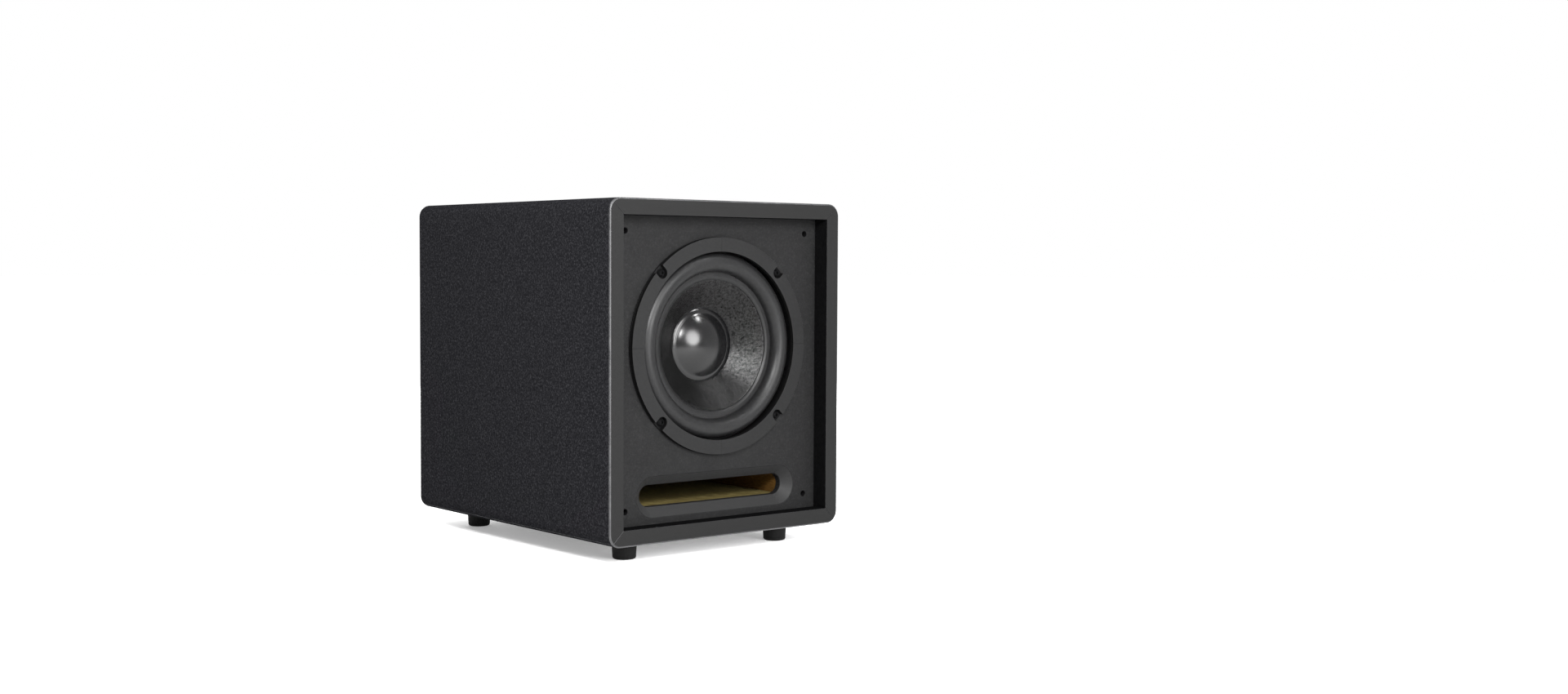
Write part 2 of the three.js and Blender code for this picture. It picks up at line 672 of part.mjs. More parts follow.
// The speaker lead runs from the power board along the left wall to the tags on the driver.
function makeSpeakerLead() {
  const route = new THREE.CatmullRomCurve3(
    [
      [-66, board.front - 0.8, 176],
      [-68, board.front - 14, 172],
      [-86, 84, 140],
      [-98, 24, 112],
      [-104, -40, 118],
      [-106, -92, 150],
      [-104, -118, 178],
      [-102, landing + 20, 187.2],
    ].map((point) => new THREE.Vector3(...point)),
  );
  const section = new THREE.Shape().absarc(0, 0, 2, 0, Math.PI * 2);
  const options = { extrudePath: route, steps: 36, curveSegments: 4, bevelEnabled: false };
  piece("speaker_lead", solidOf(new THREE.ExtrudeGeometry(section, options)), finishes.plastic);
}

makeCabinet();
makeBaffle();
makeRearPanel();
makePort();
makeFeet();
makeBasket();
makeGasket();
makeSurround();
makeCone();
makeDustCap();
makeVoiceCoil();
makeSpider();
makeMotor();
makeDriverTerminal();
makeDriverScrews();
makePlate();
makeHeatsink();
makeBoards();
makeTransformer();
makeControls();
makeLampAndJacks();
makeRocker();
makeInlet();
makeSpeakerLead();

export default model;
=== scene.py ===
import math

import bmesh
import bpy
from mathutils import Matrix, Vector


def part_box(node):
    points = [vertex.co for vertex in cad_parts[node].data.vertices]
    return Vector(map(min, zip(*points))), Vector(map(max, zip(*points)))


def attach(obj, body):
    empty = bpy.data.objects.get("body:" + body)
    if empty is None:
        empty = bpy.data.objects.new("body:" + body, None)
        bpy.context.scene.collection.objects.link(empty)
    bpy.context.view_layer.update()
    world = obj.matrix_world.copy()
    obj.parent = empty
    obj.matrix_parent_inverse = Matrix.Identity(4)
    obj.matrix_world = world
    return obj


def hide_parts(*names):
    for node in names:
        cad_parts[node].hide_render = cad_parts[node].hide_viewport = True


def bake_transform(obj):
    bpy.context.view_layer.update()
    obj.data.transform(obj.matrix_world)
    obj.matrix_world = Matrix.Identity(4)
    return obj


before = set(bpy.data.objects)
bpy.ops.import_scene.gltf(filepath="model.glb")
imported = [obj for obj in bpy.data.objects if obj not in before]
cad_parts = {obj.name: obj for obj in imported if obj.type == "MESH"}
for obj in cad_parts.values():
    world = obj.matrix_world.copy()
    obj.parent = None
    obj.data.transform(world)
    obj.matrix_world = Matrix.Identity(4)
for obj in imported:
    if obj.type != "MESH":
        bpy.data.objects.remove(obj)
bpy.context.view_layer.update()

# ---- Camera -------------------------------------------------------------------------------------
# The cabinet is seen from its front left, from a little above its middle, through a normal lens. It
# stands left of the centre of the picture.

camera_data = bpy.data.cameras.new("camera")
camera_data.sensor_fit = "HORIZONTAL"
camera_data.sensor_width = 36
camera_data.lens = 40.27
camera_data.clip_start = 0.02
camera = bpy.data.objects.new("camera", camera_data)
bpy.context.collection.objects.link(camera)
camera_place = Vector((-1.0130, -1.4517, 0.27145))
heading, tilt, roll = (math.radians(angle) for angle in (40.145, -2.701, 0.291))
camera.matrix_world = (
    Matrix.Translation(camera_place)
    @ Matrix.Rotation(-heading, 4, "Z")
    @ Matrix.Rotation(math.radians(90) + tilt, 4, "X")
    @ Matrix.Rotation(roll, 4, "Z")
)
bpy.context.scene.camera = camera

# ---- Studio -------------------------------------------------------------------------------------
# A white floor under a white sky, so that the dark cabinet stands free. A broad soft box in front and
# a small one above it on the right show on the dust cap, and one at the left front brings out the
# cone's grain. Two weak ones light the sides, and one stands behind.

bpy.context.scene.view_settings.view_transform = "Standard"
world = bpy.data.worlds.new("white_studio")
world.use_nodes = True
world.node_tree.nodes["Background"].inputs["Color"].default_value = (1.0, 1.0, 1.0, 1)
world.node_tree.nodes["Background"].inputs["Strength"].default_value = 1.0
bpy.context.scene.world = world

driver_middle = (Vector(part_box("cone")[0]) + Vector(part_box("cone")[1])) / 2


def soft_box(name, azimuth, elevation, distance, size, power, aim=driver_middle):
    """An area light that faces a point. The azimuth runs from straight in front towards the right."""
    light = bpy.data.lights.new(name, "AREA")
    light.shape = "ELLIPSE"
    light.size, light.size_y = size
    light.energy = power
    turn, lift = math.radians(azimuth), math.radians(elevation)
    away = Vector((math.sin(turn) * math.cos(lift), -math.cos(turn) * math.cos(lift), math.sin(lift)))
    holder = bpy.data.objects.new(name, light)
    holder.location = aim + away * distance
    holder.rotation_euler = away.to_track_quat("Z", "Y").to_euler()
    bpy.context.collection.objects.link(holder)


soft_box("front_soft_box", 3, 12, 1.7, (0.86, 0.86), 62)
soft_box("upper_soft_box", 36, 46, 1.7, (0.2, 0.2), 10)
soft_box("cone_soft_box", -31, 26, 1.5, (0.44, 0.44), 66)
soft_box("broad_right_soft_box", 52, 16, 2.4, (2.4, 2.4), 9)
soft_box("left_soft_box", -85, 62, 0.7, (0.5, 0.3), 9.0, Vector((-0.12, 0.02, 0.3)))
soft_box("rear_soft_box", 158, 12, 2.2, (1.2, 1.2), 55)

floor_bm = bmesh.new()
bmesh.ops.create_grid(floor_bm, x_segments=8, y_segments=8, size=30)
floor_mesh = bpy.data.meshes.new("studio_floor")
floor_bm.to_mesh(floor_mesh)
floor_bm.free()
floor = bpy.data.objects.new("studio_floor", floor_mesh)
bpy.context.collection.objects.link(floor)

# ---- Cabinet boards -----------------------------------------------------------------------------
# Four 15 mm boards of fibreboard, mitred and glued at the corners, with the long edges rounded over.
# They are sprayed with a near-black pebbled paint, smooth on the two rims. The rounded arrises of the
# rims are painted lighter and glossier as a painted highlight, and the walls of the recess near-black
# and matt as painted shade.

MM = 0.001
SHARP = math.radians(38)
WELD, TOUCH = 0.002, 0.01


def extent(*nodes):
    """The lowest and highest corners of nodes of the frame together, in millimetres."""
    boxes = [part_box(node) for node in nodes]
    low = [min(box[0][i] for box in boxes) / MM for i in range(3)]
    high = [max(box[1][i] for box in boxes) / MM for i in range(3)]
    return Vector(low), Vector(high)


def middle_of(*nodes):
    low, high = extent(*nodes)
    return (low + high) / 2


def shift(bm, x=0, y=0, z=0):
    """Moves a whole mesh."""
    bmesh.ops.translate(bm, vec=(x, y, z), verts=bm.verts)


def turn_by(bm, turn):
    """Turns a whole mesh about the origin."""
    bmesh.ops.rotate(bm, cent=(0, 0, 0), matrix=turn, verts=bm.verts)


def quarter_turn(axis, size=4):
    return Matrix.Rotation(math.radians(90), size, axis)


def verts_in(geom):
    """The corners among what an operator made."""
    return [item for item in geom if isinstance(item, bmesh.types.BMVert)]


def block(bm, low, high):
    """A block between two corners."""
    low, high = Vector(low), Vector(high)
    made = bmesh.ops.create_cube(bm, size=1)["verts"]
    bmesh.ops.scale(bm, vec=high - low, verts=made)
    bmesh.ops.translate(bm, vec=(low + high) / 2, verts=made)


def eased_block(low, high, width, segments=2):
    """A block in a mesh of its own, with its edges rounded over."""
    bm = bmesh.new()
    block(bm, low, high)
    soften(bm, sharp_edges(bm), width, segments)
    return bm


def sharp_edges(bm, limit=SHARP):
    return [edge for edge in bm.edges if edge.is_manifold and edge.calc_face_angle() > limit]


def soften(bm, edges, width, segments=2):
    """Rounds edges over by a width in millimetres, and returns the new faces."""
    return bmesh.ops.bevel(
        bm,
        geom=list(edges),
        offset=width,
        affect="EDGES",
        segments=segments,
        profile=0.5,
        material=-1,
        clamp_overlap=True,
    )["faces"]


def at_y(edge, *places):
    """Says whether an edge lies in a plane across Y, at one of the places."""
    return any(all(abs(vert.co.y - place) < TOUCH for vert in edge.verts) for place in places)


def in_plane(edge, point, normal):
    return all(abs((vert.co - point).dot(normal)) < TOUCH for vert in edge.verts)


def along_y(bm):
    return [edge for edge in bm.edges if abs((edge.verts[0].co - edge.verts[1].co).y) > 1]


def keep_side(bm, point, normal):
    """Cuts with a plane, keeps the side that the normal points to, and closes the cut."""
    geom = [*bm.verts, *bm.edges, *bm.faces]
    cut = bmesh.ops.bisect_plane(bm, geom=geom, plane_co=point, plane_no=normal, clear_inner=True)
    rim = [item for item in cut["geom_cut"] if isinstance(item, bmesh.types.BMEdge)]
    bmesh.ops.contextual_create(bm, geom=rim)


def shader_of(material):
    return material.node_tree.nodes["Principled BSDF"]


def set_inputs(node, **values):
    for socket, value in values.items():
        node.inputs[socket.replace("_", " ")].default_value = value


def wire(material, value, socket):
    material.node_tree.links.new(value, shader_of(material).inputs[socket])


def finish(name, colour, rough, metal=0.0, gloss=0.5):
    """A shader with its even settings. The patterns are wired to it where the piece is made."""
    material = bpy.data.materials.new(name)
    material.use_nodes = True
    material.diffuse_color = (*colour, 1)
    shader = shader_of(material)
    set_inputs(shader, Base_Color=(*colour, 1), Roughness=rough, Metallic=metal, Specular_IOR_Level=gloss)
    return material


def pattern(material, scale, stretch=(1, 1, 1), kind="Noise", **settings):
    """A noise, wave or brick texture on Object coordinates. It returns its first output."""
    nodes, links = material.node_tree.nodes, material.node_tree.links
    texture = nodes.new("ShaderNodeTex" + kind)
    set_inputs(texture, Scale=scale, **settings)
    place = nodes.new("ShaderNodeTexCoord")
    mapping = nodes.new("ShaderNodeMapping")
    set_inputs(mapping, Scale=stretch)
    links.new(place.outputs["Object"], mapping.inputs["Vector"])
    links.new(mapping.outputs["Vector"], texture.inputs["Vector"])
    return texture.outputs[0]


def colour_by(material, value, *stops):
    """Colours the surface by a pattern. Each stop is a place from 0 to 1 and a colour."""
    ramp = material.node_tree.nodes.new("ShaderNodeValToRGB")
    points = ramp.color_ramp.elements
    while len(points) < len(stops):
        points.new(0.5)
    for point, (place, colour) in zip(points, stops):
        point.position = place
        point.color = (*colour, 1)
    material.node_tree.links.new(value, ramp.inputs["Fac"])
    wire(material, ramp.outputs["Color"], "Base Color")


def roughen_by(material, value, low, high, socket="Roughness"):
    """Spreads a pattern between two values of a socket."""
    spread = material.node_tree.nodes.new("ShaderNodeMapRange")
    set_inputs(spread, From_Min=0.3, From_Max=0.7, To_Min=low, To_Max=high)
    material.node_tree.links.new(value, spread.inputs["Value"])
    wire(material, spread.outputs["Result"], socket)


def raise_by(material, value, height, under=None):
    """Bumps the surface by a pattern, over an earlier bump where one is given."""
    bump = material.node_tree.nodes.new("ShaderNodeBump")
    set_inputs(bump, Distance=height * MM, Strength=1.0)
    material.node_tree.links.new(value, bump.inputs["Height"])
    if under:
        material.node_tree.links.new(under, bump.inputs["Normal"])
    wire(material, bump.outputs["Normal"], "Normal")
    return bump.outputs["Normal"]


def one_noise(material, scale, dark, light, rough, relief=0, stretch=(1, 1, 1), **settings):
    """Lets one noise carry the colour, the roughness and, where it is given, the relief."""
    grain = pattern(material, scale, stretch, **settings)
    colour_by(material, grain, (0.3, dark), (0.7, light))
    roughen_by(material, grain, *rough)
    if relief:
        raise_by(material, grain, relief)


def settle(bm, name, material, body="root", stands_for=(), weighted=False, weld=True):
    """Turns a mesh drawn in millimetres into a piece of the model, in metres, on its body."""
    if weld:
        bmesh.ops.remove_doubles(bm, verts=bm.verts, dist=WELD)
        bmesh.ops.recalc_face_normals(bm, faces=bm.faces)
    bmesh.ops.scale(bm, vec=(MM, MM, MM), verts=bm.verts)
    mesh = bpy.data.meshes.new(name)
    bm.to_mesh(mesh)
    bm.free()
    mesh.materials.append(material)
    mesh.shade_smooth()
    mesh.set_sharp_from_angle(angle=SHARP)
    piece = bpy.data.objects.new(name, mesh)
    bpy.context.collection.objects.link(piece)
    if weighted:
        weights = piece.modifiers.new("even_shading", "WEIGHTED_NORMAL")
        weights.keep_sharp = True
    if body:
        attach(piece, body)
    if stands_for:
        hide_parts(*stands_for)
    return piece


floor_finish = finish("floor_white", (0.8, 0.8, 0.8), 0.9, gloss=0.0)
set_inputs(shader_of(floor_finish), Emission_Color=(1, 1, 1, 1), Emission_Strength=0.3)
floor_mottle = pattern(floor_finish, 3, Detail=2)
colour_by(floor_finish, floor_mottle, (0.3, (0.79, 0.79, 0.79)), (0.7, (0.81, 0.81, 0.81)))
floor_mesh.materials.append(floor_finish)

cabinet_paint = finish("cabinet_paint", (0.011, 0.011, 0.013), 0.6, gloss=0.0)
pebbles = pattern(cabinet_paint, 520, Detail=4, Roughness=0.7)
flecks = pattern(cabinet_paint, 900, Detail=2, Roughness=0.7)
colour_by(
    cabinet_paint,
    pebbles,
    (0.32, (0.0032, 0.0032, 0.0037)), (0.52, (0.0068, 0.0068, 0.0077)), (0.72, (0.0190, 0.0190, 0.0207)),
)
roughen_by(cabinet_paint, flecks, 0.48, 0.72)
fine_paint = raise_by(cabinet_paint, flecks, 0.12)
raise_by(cabinet_paint, pebbles, 0.30, under=fine_paint)

# Lighter, glossier paint for the rounded arrises of the rims, a painted highlight along the edges.
arris_highlight_paint = finish("arris_highlight_paint", (0.020, 0.020, 0.021), 0.45, gloss=0.3)
arris_highlight_mottle = pattern(arris_highlight_paint, 90, Detail=4, Roughness=0.65)
colour_by(
    arris_highlight_paint,
    arris_highlight_mottle,
    (0.35, (0.0090, 0.0090, 0.0100)), (0.55, (0.0180, 0.0180, 0.0190)), (0.75, (0.0300, 0.0300, 0.0310)),
)
roughen_by(arris_highlight_paint, arris_highlight_mottle, 0.36, 0.55)
raise_by(arris_highlight_paint, arris_highlight_mottle, 0.05)

rim_paint = finish("rim_paint", (0.009, 0.009, 0.009), 0.6, gloss=0.07)
one_noise(rim_paint, 900, (0.0040, 0.0040, 0.0040), (0.0052, 0.0052, 0.0052), (0.56, 0.66), 0.03, Detail=2)

# Near-black matt finish, painted shade: it colours the walls of the recess darker than the paint, for the
# shade inside it.
painted_shade_black = finish("painted_shade_black", (0.004, 0.004, 0.004), 0.9, gloss=0.0)
one_noise(
    painted_shade_black, 420, (0.0014, 0.0014, 0.0015), (0.0024, 0.0024, 0.0025), (0.86, 0.98), 0.05, Detail=3
)

board_thickness = 15
corner_radius = 12
baffle_line = extent("front_baffle")[0].y
arris = 1.4
case_low, case_high = extent("cabinet_top", "cabinet_bottom", "cabinet_left_side", "cabinet_right_side")
case_middle, case_half = (case_low + case_high) / 2, (case_high - case_low) / 2

for name, outward, along in (
    ("cabinet_top", (0, 0, 1), (1, 0, 0)),
    ("cabinet_bottom", (0, 0, -1), (1, 0, 0)),
    ("cabinet_left_side", (-1, 0, 0), (0, 0, 1)),
    ("cabinet_right_side", (1, 0, 0), (0, 0, 1)),
):
    outward, along = Vector(outward), Vector(along)
    face = case_middle + outward * abs(outward.dot(case_half))
    inside = face - outward * board_thickness
    bm = bmesh.new()
    block(bm, case_low, case_high)
    soften(bm, along_y(bm), corner_radius, 12)
    rims = [edge for edge in sharp_edges(bm) if at_y(edge, case_low.y, case_high.y)]
    # The rounded arrises take the lighter paint, a painted highlight.
    for face_of_arris in soften(bm, rims, arris, 4):
        face_of_arris.material_index = 1
    keep_side(bm, inside, outward)
    rims = [edge for edge in sharp_edges(bm) if at_y(edge, case_low.y, case_high.y)]
    soften(bm, [edge for edge in rims if in_plane(edge, inside, outward)], 0.6, 3)
    for side in (-1, 1):
        reach = abs(along.dot(case_half))
        mitre = (outward - along * side).normalized()
        corner = face + along * side * reach + mitre * 0.05
        keep_side(bm, corner, mitre)
        joint = [edge for edge in sharp_edges(bm) if in_plane(edge, corner, mitre)]
        soften(bm, joint, 0.16, 1)
    geom = [*bm.verts, *bm.edges, *bm.faces]
    bmesh.ops.bisect_plane(bm, geom=geom, plane_co=(0, baffle_line, 0), plane_no=(0, 1, 0))
    # The flat rim faces take the smooth rim paint. The inner faces in front of the baffle take the
    # near-black matt finish, painted shade for the recess.
    for side in bm.faces:
        if abs(side.normal.y) > 0.99:
            side.material_index = 2
        elif side.normal.dot(outward) < -0.9 and side.calc_center_median().y < baffle_line:
            side.material_index = 3
    piece = settle(bm, name + "_board", cabinet_paint, stands_for=[name], weighted=True)
    for material in (arris_highlight_paint, rim_paint, painted_shade_black):
        piece.data.materials.append(material)

# ---- Front baffle -------------------------------------------------------------------------------
# A 15 mm panel let 18 mm into the cabinet and sprayed a shade lighter than it. It has a hole for the
# driver, a long round-ended slot with a deep chamfer for the port, and four holes for grille pegs.


def closed_ring(verts):
    return list({edge for vert in verts for edge in vert.link_edges})


def round_outline(bm, x, z, width, height, corner, y, steps=32):
    """A rectangle with round corners, drawn as a circle whose quarters are moved apart."""
    turned_half = Matrix.Rotation(math.pi / steps, 4, "Z")
    upright = quarter_turn("X")
    made = bmesh.ops.create_circle(bm, segments=steps, radius=corner, matrix=upright @ turned_half)
    for vert in made["verts"]:
        vert.co.x += math.copysign(width / 2 - corner, vert.co.x)
        vert.co.z += math.copysign(height / 2 - corner, vert.co.z)
    bmesh.ops.translate(bm, vec=(x, y, z), verts=made["verts"])
    return closed_ring(made["verts"])


def straight_outline(bm, points, y):
    verts = [bm.verts.new((x, y, z)) for x, z in points]
    return [bm.edges.new(pair) for pair in zip(verts, verts[1:] + verts[:1])]


def corners_of(x, z, width, height):
    return [
        (x - width / 2, z - height / 2), (x + width / 2, z - height / 2), (x + width / 2, z + height / 2),
        (x - width / 2, z + height / 2),
    ]


def hollowed(rim, *holes):
    """A solid of outlines at stated Ys, each bridged to the next, from its face to its rear.

    A hole that ends at another Y than the rim does is blind, and is closed there."""
    bm = bmesh.new()
    face, rear = [], []
    for chain in (rim, *holes):
        rings = [outline(bm, y) for outline, y in chain]
        for ring, following in zip(rings, rings[1:]):
            bmesh.ops.bridge_loops(bm, edges=ring + following)
        face += rings[0]
        if chain[-1][1] == rim[-1][1]:
            rear += rings[-1]
        else:
            bmesh.ops.contextual_create(bm, geom=rings[-1])
    bmesh.ops.triangle_fill(bm, edges=face, use_beauty=True)
    bmesh.ops.triangle_fill(bm, edges=rear, use_beauty=True)
    bmesh.ops.recalc_face_normals(bm, faces=bm.faces)
    return bm


def straight(points):
    return lambda bm, y: straight_outline(bm, points, y)


def rounded(x, z, width, height, corner, steps=32):
    return lambda bm, y: round_outline(bm, x, z, width, height, corner, y, steps)


panel_paint = finish("panel_paint", (0.011, 0.011, 0.012), 0.7, gloss=0.08)
panel_grain = pattern(panel_paint, 520, Detail=4, Roughness=0.65)
panel_patches = pattern(panel_paint, 26, Detail=3)
colour_by(
    panel_paint,
    panel_grain,
    (0.28, (0.0020, 0.0020, 0.0021)), (0.55, (0.0034, 0.0034, 0.0035)), (0.76, (0.0070, 0.0070, 0.0071)),
)
roughen_by(panel_paint, panel_patches, 0.58, 0.74)
raise_by(panel_paint, panel_grain, 0.22)

# Lighter paint for the chamfer of the slot, painted light: it stands for light falling on the chamfer from
# above.
flare_painted_light = finish("flare_painted_light", (0.009, 0.009, 0.009), 0.6, gloss=0.12)
one_noise(flare_painted_light, 600, (0.0066, 0.0066, 0.0067), (0.0090, 0.0090, 0.0091), (0.54, 0.66), 0.06, Detail=3)

baffle_low, baffle_high = extent("front_baffle")
baffle_middle = (baffle_low + baffle_high) / 2
baffle_face, baffle_rear = baffle_low.y, baffle_high.y
driver_z = middle_of("cone").z
duct_floor, duct_roof = extent("port_floor")[1].z, extent("port_roof")[0].z
duct_half = extent("port_right_cheek")[0].x
slot_flare = 9.25
peg_reach, peg_hole_depth = (106, 127), 11
panel_size, driver_hole_radius = (240, 282), 92.5
slot_top = driver_z - 100


def slot_outline(grow):
    width, height = duct_half * 2 + grow * 2, duct_roof - duct_floor + grow * 2
    return rounded(0, (duct_floor + duct_roof) / 2, width, height, height / 2 - 0.02, 48)


def round_hole(x, z, radius, steps=24):
    return rounded(x, z, radius * 2, radius * 2, radius, steps)


peg_places = [(x * peg_reach[0], baffle_middle.z + z * peg_reach[1]) for x in (-1, 1) for z in (-1, 1)]
peg_holes = [round_hole(x, z, 2.7) for x, z in peg_places]
baffle_outline = straight(corners_of(0, baffle_middle.z, *panel_size))
driver_hole = round_hole(0, driver_z, driver_hole_radius, 96)
bm = hollowed(
    [(baffle_outline, baffle_face), (baffle_outline, baffle_rear)],
    [(driver_hole, baffle_face), (driver_hole, baffle_rear)],
    [
        (slot_outline(slot_flare), baffle_face), (slot_outline(0), baffle_face + slot_flare),
        (slot_outline(0), baffle_rear),
    ],
    *[[(hole, baffle_face), (hole, baffle_face + peg_hole_depth)] for hole in peg_holes],
)
slot_rims = [
    edge
    for edge in sharp_edges(bm)
    if max(vert.co.z for vert in edge.verts) < slot_top and (
        (at_y(edge, baffle_face) and abs(edge.verts[0].co.x) < 95)
        or at_y(edge, baffle_face + slot_flare)
    )
]
soften(bm, slot_rims, 0.5, 3)
# The chamfer faces take the lighter paint, painted light on the flare.
for side in bm.faces:
    if -0.8 < side.normal.y < -0.6 and side.calc_center_median().z < slot_top:
        side.material_index = 1
panel = settle(bm, "front_baffle_panel", panel_paint, "root", ["front_baffle"], weighted=True)
panel.data.materials.append(flare_painted_light)

# ---- Grille peg sockets -------------------------------------------------------------------------
# Small black moulded cups pressed into the four holes of the baffle, for the pegs of a cloth grille.
# Each has a thin flange with a rounded edge.


def spin(bm, geom, centre, axis, degrees, steps, merge=False):
    bmesh.ops.spin(
        bm,
        geom=geom,
        cent=centre,
        axis=axis,
        dvec=(0, 0, 0),
        angle=math.radians(degrees),
        steps=steps,
        use_merge=merge,
    )


def spun_round(bm, steps):
    """Spins a drawn profile once round the Y axis."""
    spin(bm, bm.verts[:] + bm.edges[:], (0, 0, 0), (0, 1, 0), 360, steps, merge=True)
    bmesh.ops.remove_doubles(bm, verts=bm.verts, dist=WELD)
    bmesh.ops.recalc_face_normals(bm, faces=bm.faces)


def tube(inner, outer, start, end):
    """The profile of a plain ring or tube between two Ys."""
    return [(inner, start), (outer, start), (outer, end), (inner, end)]


def turned(profile, x=0, z=0, steps=48, closed=True):
    """A profile of radius and Y, spun about an axis along Y."""
    bm = bmesh.new()
    verts = [bm.verts.new((radius, y, 0)) for radius, y in profile]
    for pair in zip(verts, verts[1:] + (verts[:1] if closed else [])):
        bm.edges.new(pair)
    spun_round(bm, steps)
    shift(bm, x, 0, z)
    return bm


black_plastic = finish("black_plastic", (0.006, 0.006, 0.006), 0.42, gloss=0.25)
one_noise(
    black_plastic, 260, (0.0045, 0.0045, 0.0047), (0.0090, 0.0090, 0.0093), (0.34, 0.5), 0.03, Detail=3
)

for number, (x, z) in enumerate(peg_places, 1):
    profile = [
        (2.2, baffle_face + 9.5), (2.2, baffle_face + 0.2), (2.35, baffle_face - 0.15),
        (2.75, baffle_face - 0.2), (3.0, baffle_face - 0.02), (2.65, baffle_face - 0.02),
        (2.65, baffle_face + 10.5), (0, baffle_face + 10.5), (0, baffle_face + 9.5),
    ]
    bm = turned(profile, x, z, 24)
    # The cups take the near-black matt finish: their own black, and painted shade for the dark holes.
    settle(bm, "grille_peg_socket_%d" % number, painted_shade_black)

# ---- Rear panel ---------------------------------------------------------------------------------
# The same board as the baffle, let into the back and sprayed like it, with one large rectangular
# hole that the amplifier plate covers.

rear_low, rear_high = extent("rear_panel")
plate_low, plate_high = extent("amplifier_plate")
plate_middle = (plate_low + plate_high) / 2
amp_hole = (148, 194)
amp_opening = straight(corners_of(0, plate_middle.z, *amp_hole))
bm = hollowed(
    [(baffle_outline, rear_high.y), (baffle_outline, rear_low.y)],
    [(amp_opening, rear_high.y), (amp_opening, rear_low.y)],
)
settle(bm, "rear_board", panel_paint, stands_for=["rear_panel"])

# ---- Port duct ----------------------------------------------------------------------------------
# A floor, two cheeks and a roof of raw fibreboard glued behind the slot. Only their faces inside the
# duct are seen; the cheeks are coloured a darker, redder brown than the floor and the roof.

fibreboard = finish("bare_fibreboard", (0.42, 0.30, 0.13), 0.85, gloss=0.05)
fibres = pattern(fibreboard, 240, (1, 0.35, 1), Detail=5, Roughness=0.7)
colour_by(
    fibreboard,
    fibres,
    (0.30, (0.030, 0.022, 0.007)), (0.55, (0.052, 0.041, 0.014)), (0.75, (0.085, 0.070, 0.029)),
)
roughen_by(fibreboard, fibres, 0.75, 0.95)
raise_by(fibreboard, fibres, 0.2)

# The cheeks' fibreboard is coloured darker and redder than that of the floor and roof.
darker_cheek_fibreboard = finish("darker_cheek_fibreboard", (0.42, 0.19, 0.04), 0.9, gloss=0.03)
cheek_dark_tone, cheek_light_tone = (0.026, 0.012, 0.0022), (0.046, 0.024, 0.006)
one_noise(darker_cheek_fibreboard, 180, cheek_dark_tone, cheek_light_tone, (0.8, 0.95), 0.2, stretch=(1, 1, 4), Detail=4)

for node, material in (
    ("port_floor", fibreboard),
    ("port_left_cheek", darker_cheek_fibreboard),
    ("port_right_cheek", darker_cheek_fibreboard),
    ("port_roof", fibreboard),
):
    bm = eased_block(*extent(node), 0.4)
    settle(bm, node + "_board", material, stands_for=[node], weighted=True)

# ---- Feet ---------------------------------------------------------------------------------------
# Four tapered feet of black rubber. A pan-head screw with a washer goes up through each one into the
# bottom board from a hole sunk in its sole.

foot_rubber = finish("foot_rubber", (0.007, 0.007, 0.007), 0.7, gloss=0.08)
rubber_bloom = pattern(foot_rubber, 300, Detail=3)
colour_by(foot_rubber, rubber_bloom, (0.3, (0.003, 0.003, 0.003)), (0.75, (0.007, 0.007, 0.007)))
roughen_by(foot_rubber, rubber_bloom, 0.6, 0.8)
raise_by(foot_rubber, rubber_bloom, 0.08)

plated_steel = finish("plated_steel", (0.52, 0.53, 0.54), 0.32, metal=1.0)
one_noise(plated_steel, 150, (0.44, 0.45, 0.46), (0.62, 0.62, 0.62), (0.24, 0.42), Detail=3)


def laid_flat(bm, x, y):
    """Stands a piece spun about Y upright: its Y becomes height."""
    turn_by(bm, quarter_turn("X", 3))
    shift(bm, x, y)


for node in ("foot_front_left", "foot_front_right", "foot_rear_left", "foot_rear_right"):
    low, high = extent(node)
    top = high.z
    foot_profile = [(5, 0.5), (5.5, 0), (9.2, 0), (10.2, 0.5), (10.9, 1.5)]
    foot_profile += [(11.85, top - 1), (11.6, top), (2.4, top), (2.4, 9), (5, 9)]
    middle = (low + high) / 2
    bm = turned(foot_profile, steps=64)
    laid_flat(bm, middle.x, middle.y)
    settle(bm, node + "_rubber", foot_rubber, stands_for=[node])
    screw_profile = [(0, 6.4), (1.2, 6.4), (2.9, 7), (3.4, 8.2), (4.6, 8.2), (4.6, 9)]
    screw_profile += [(2.2, 9), (2.2, top), (0, top)]
    bm = turned(screw_profile, steps=32)
    laid_flat(bm, middle.x, middle.y)
    settle(bm, node + "_screw", plated_steel)

# ---- Driver basket ------------------------------------------------------------------------------
# One pressing of sheet steel, painted satin black: a flange screwed to the baffle, a ledge for the
# surround, four open windows, a ledge for the spider, and a base that the motor is staked to.


def arc(bm, start, centre, degrees, steps, axis=(0, -1, 0)):
    """Runs a point round a centre and returns its path. In the XZ plane a positive angle goes towards Z."""
    path = [bm.verts.new(start)]
    before = set(bm.verts)
    spin(bm, path[:], centre, axis, degrees, steps)
    return path + [vert for vert in bm.verts if vert not in before]


def joined_path(bm, *paths, closed=False):
    """Joins the ends of paths and of single points, in order, with edges."""
    paths = [path if isinstance(path, list) else [bm.verts.new(path)] for path in paths]
    for path, following in zip(paths, paths[1:] + (paths[:1] if closed else [])):
        bm.edges.new((path[-1], following[0]))


def give_wall(piece, wall, offset=0.0, edge=0.0, rim_slot=0):
    """Turns a sheet into a wall of a thickness in millimetres, with eased edges where asked."""
    shell = piece.modifiers.new("wall", "SOLIDIFY")
    shell.thickness = wall * MM
    shell.offset = offset
    shell.use_even_offset = True
    shell.material_offset_rim = rim_slot
    if edge:
        ease = piece.modifiers.new("eased_edges", "BEVEL")
        ease.width = edge * MM
        ease.segments = 2
        ease.limit_method = "ANGLE"
        ease.angle_limit = SHARP


black_steel = finish("black_steel", (0.004, 0.004, 0.004), 0.42, gloss=0.03)
one_noise(black_steel, 380, (0.0008, 0.0008, 0.0009), (0.0018, 0.0018, 0.0019), (0.36, 0.52), 0.04, Detail=3)

flange_low, flange_high = extent("driver_basket")
flange_face, flange_radius = flange_low.y, flange_high.x
ledge_y = extent("surround")[1].y
spider_ledge_y = middle_of("spider").y + 1.5
motor_front = extent("motor_top_plate")[0].y
bolt_circle = 96.5
bolt_angles = (45, 135, 225, 315)

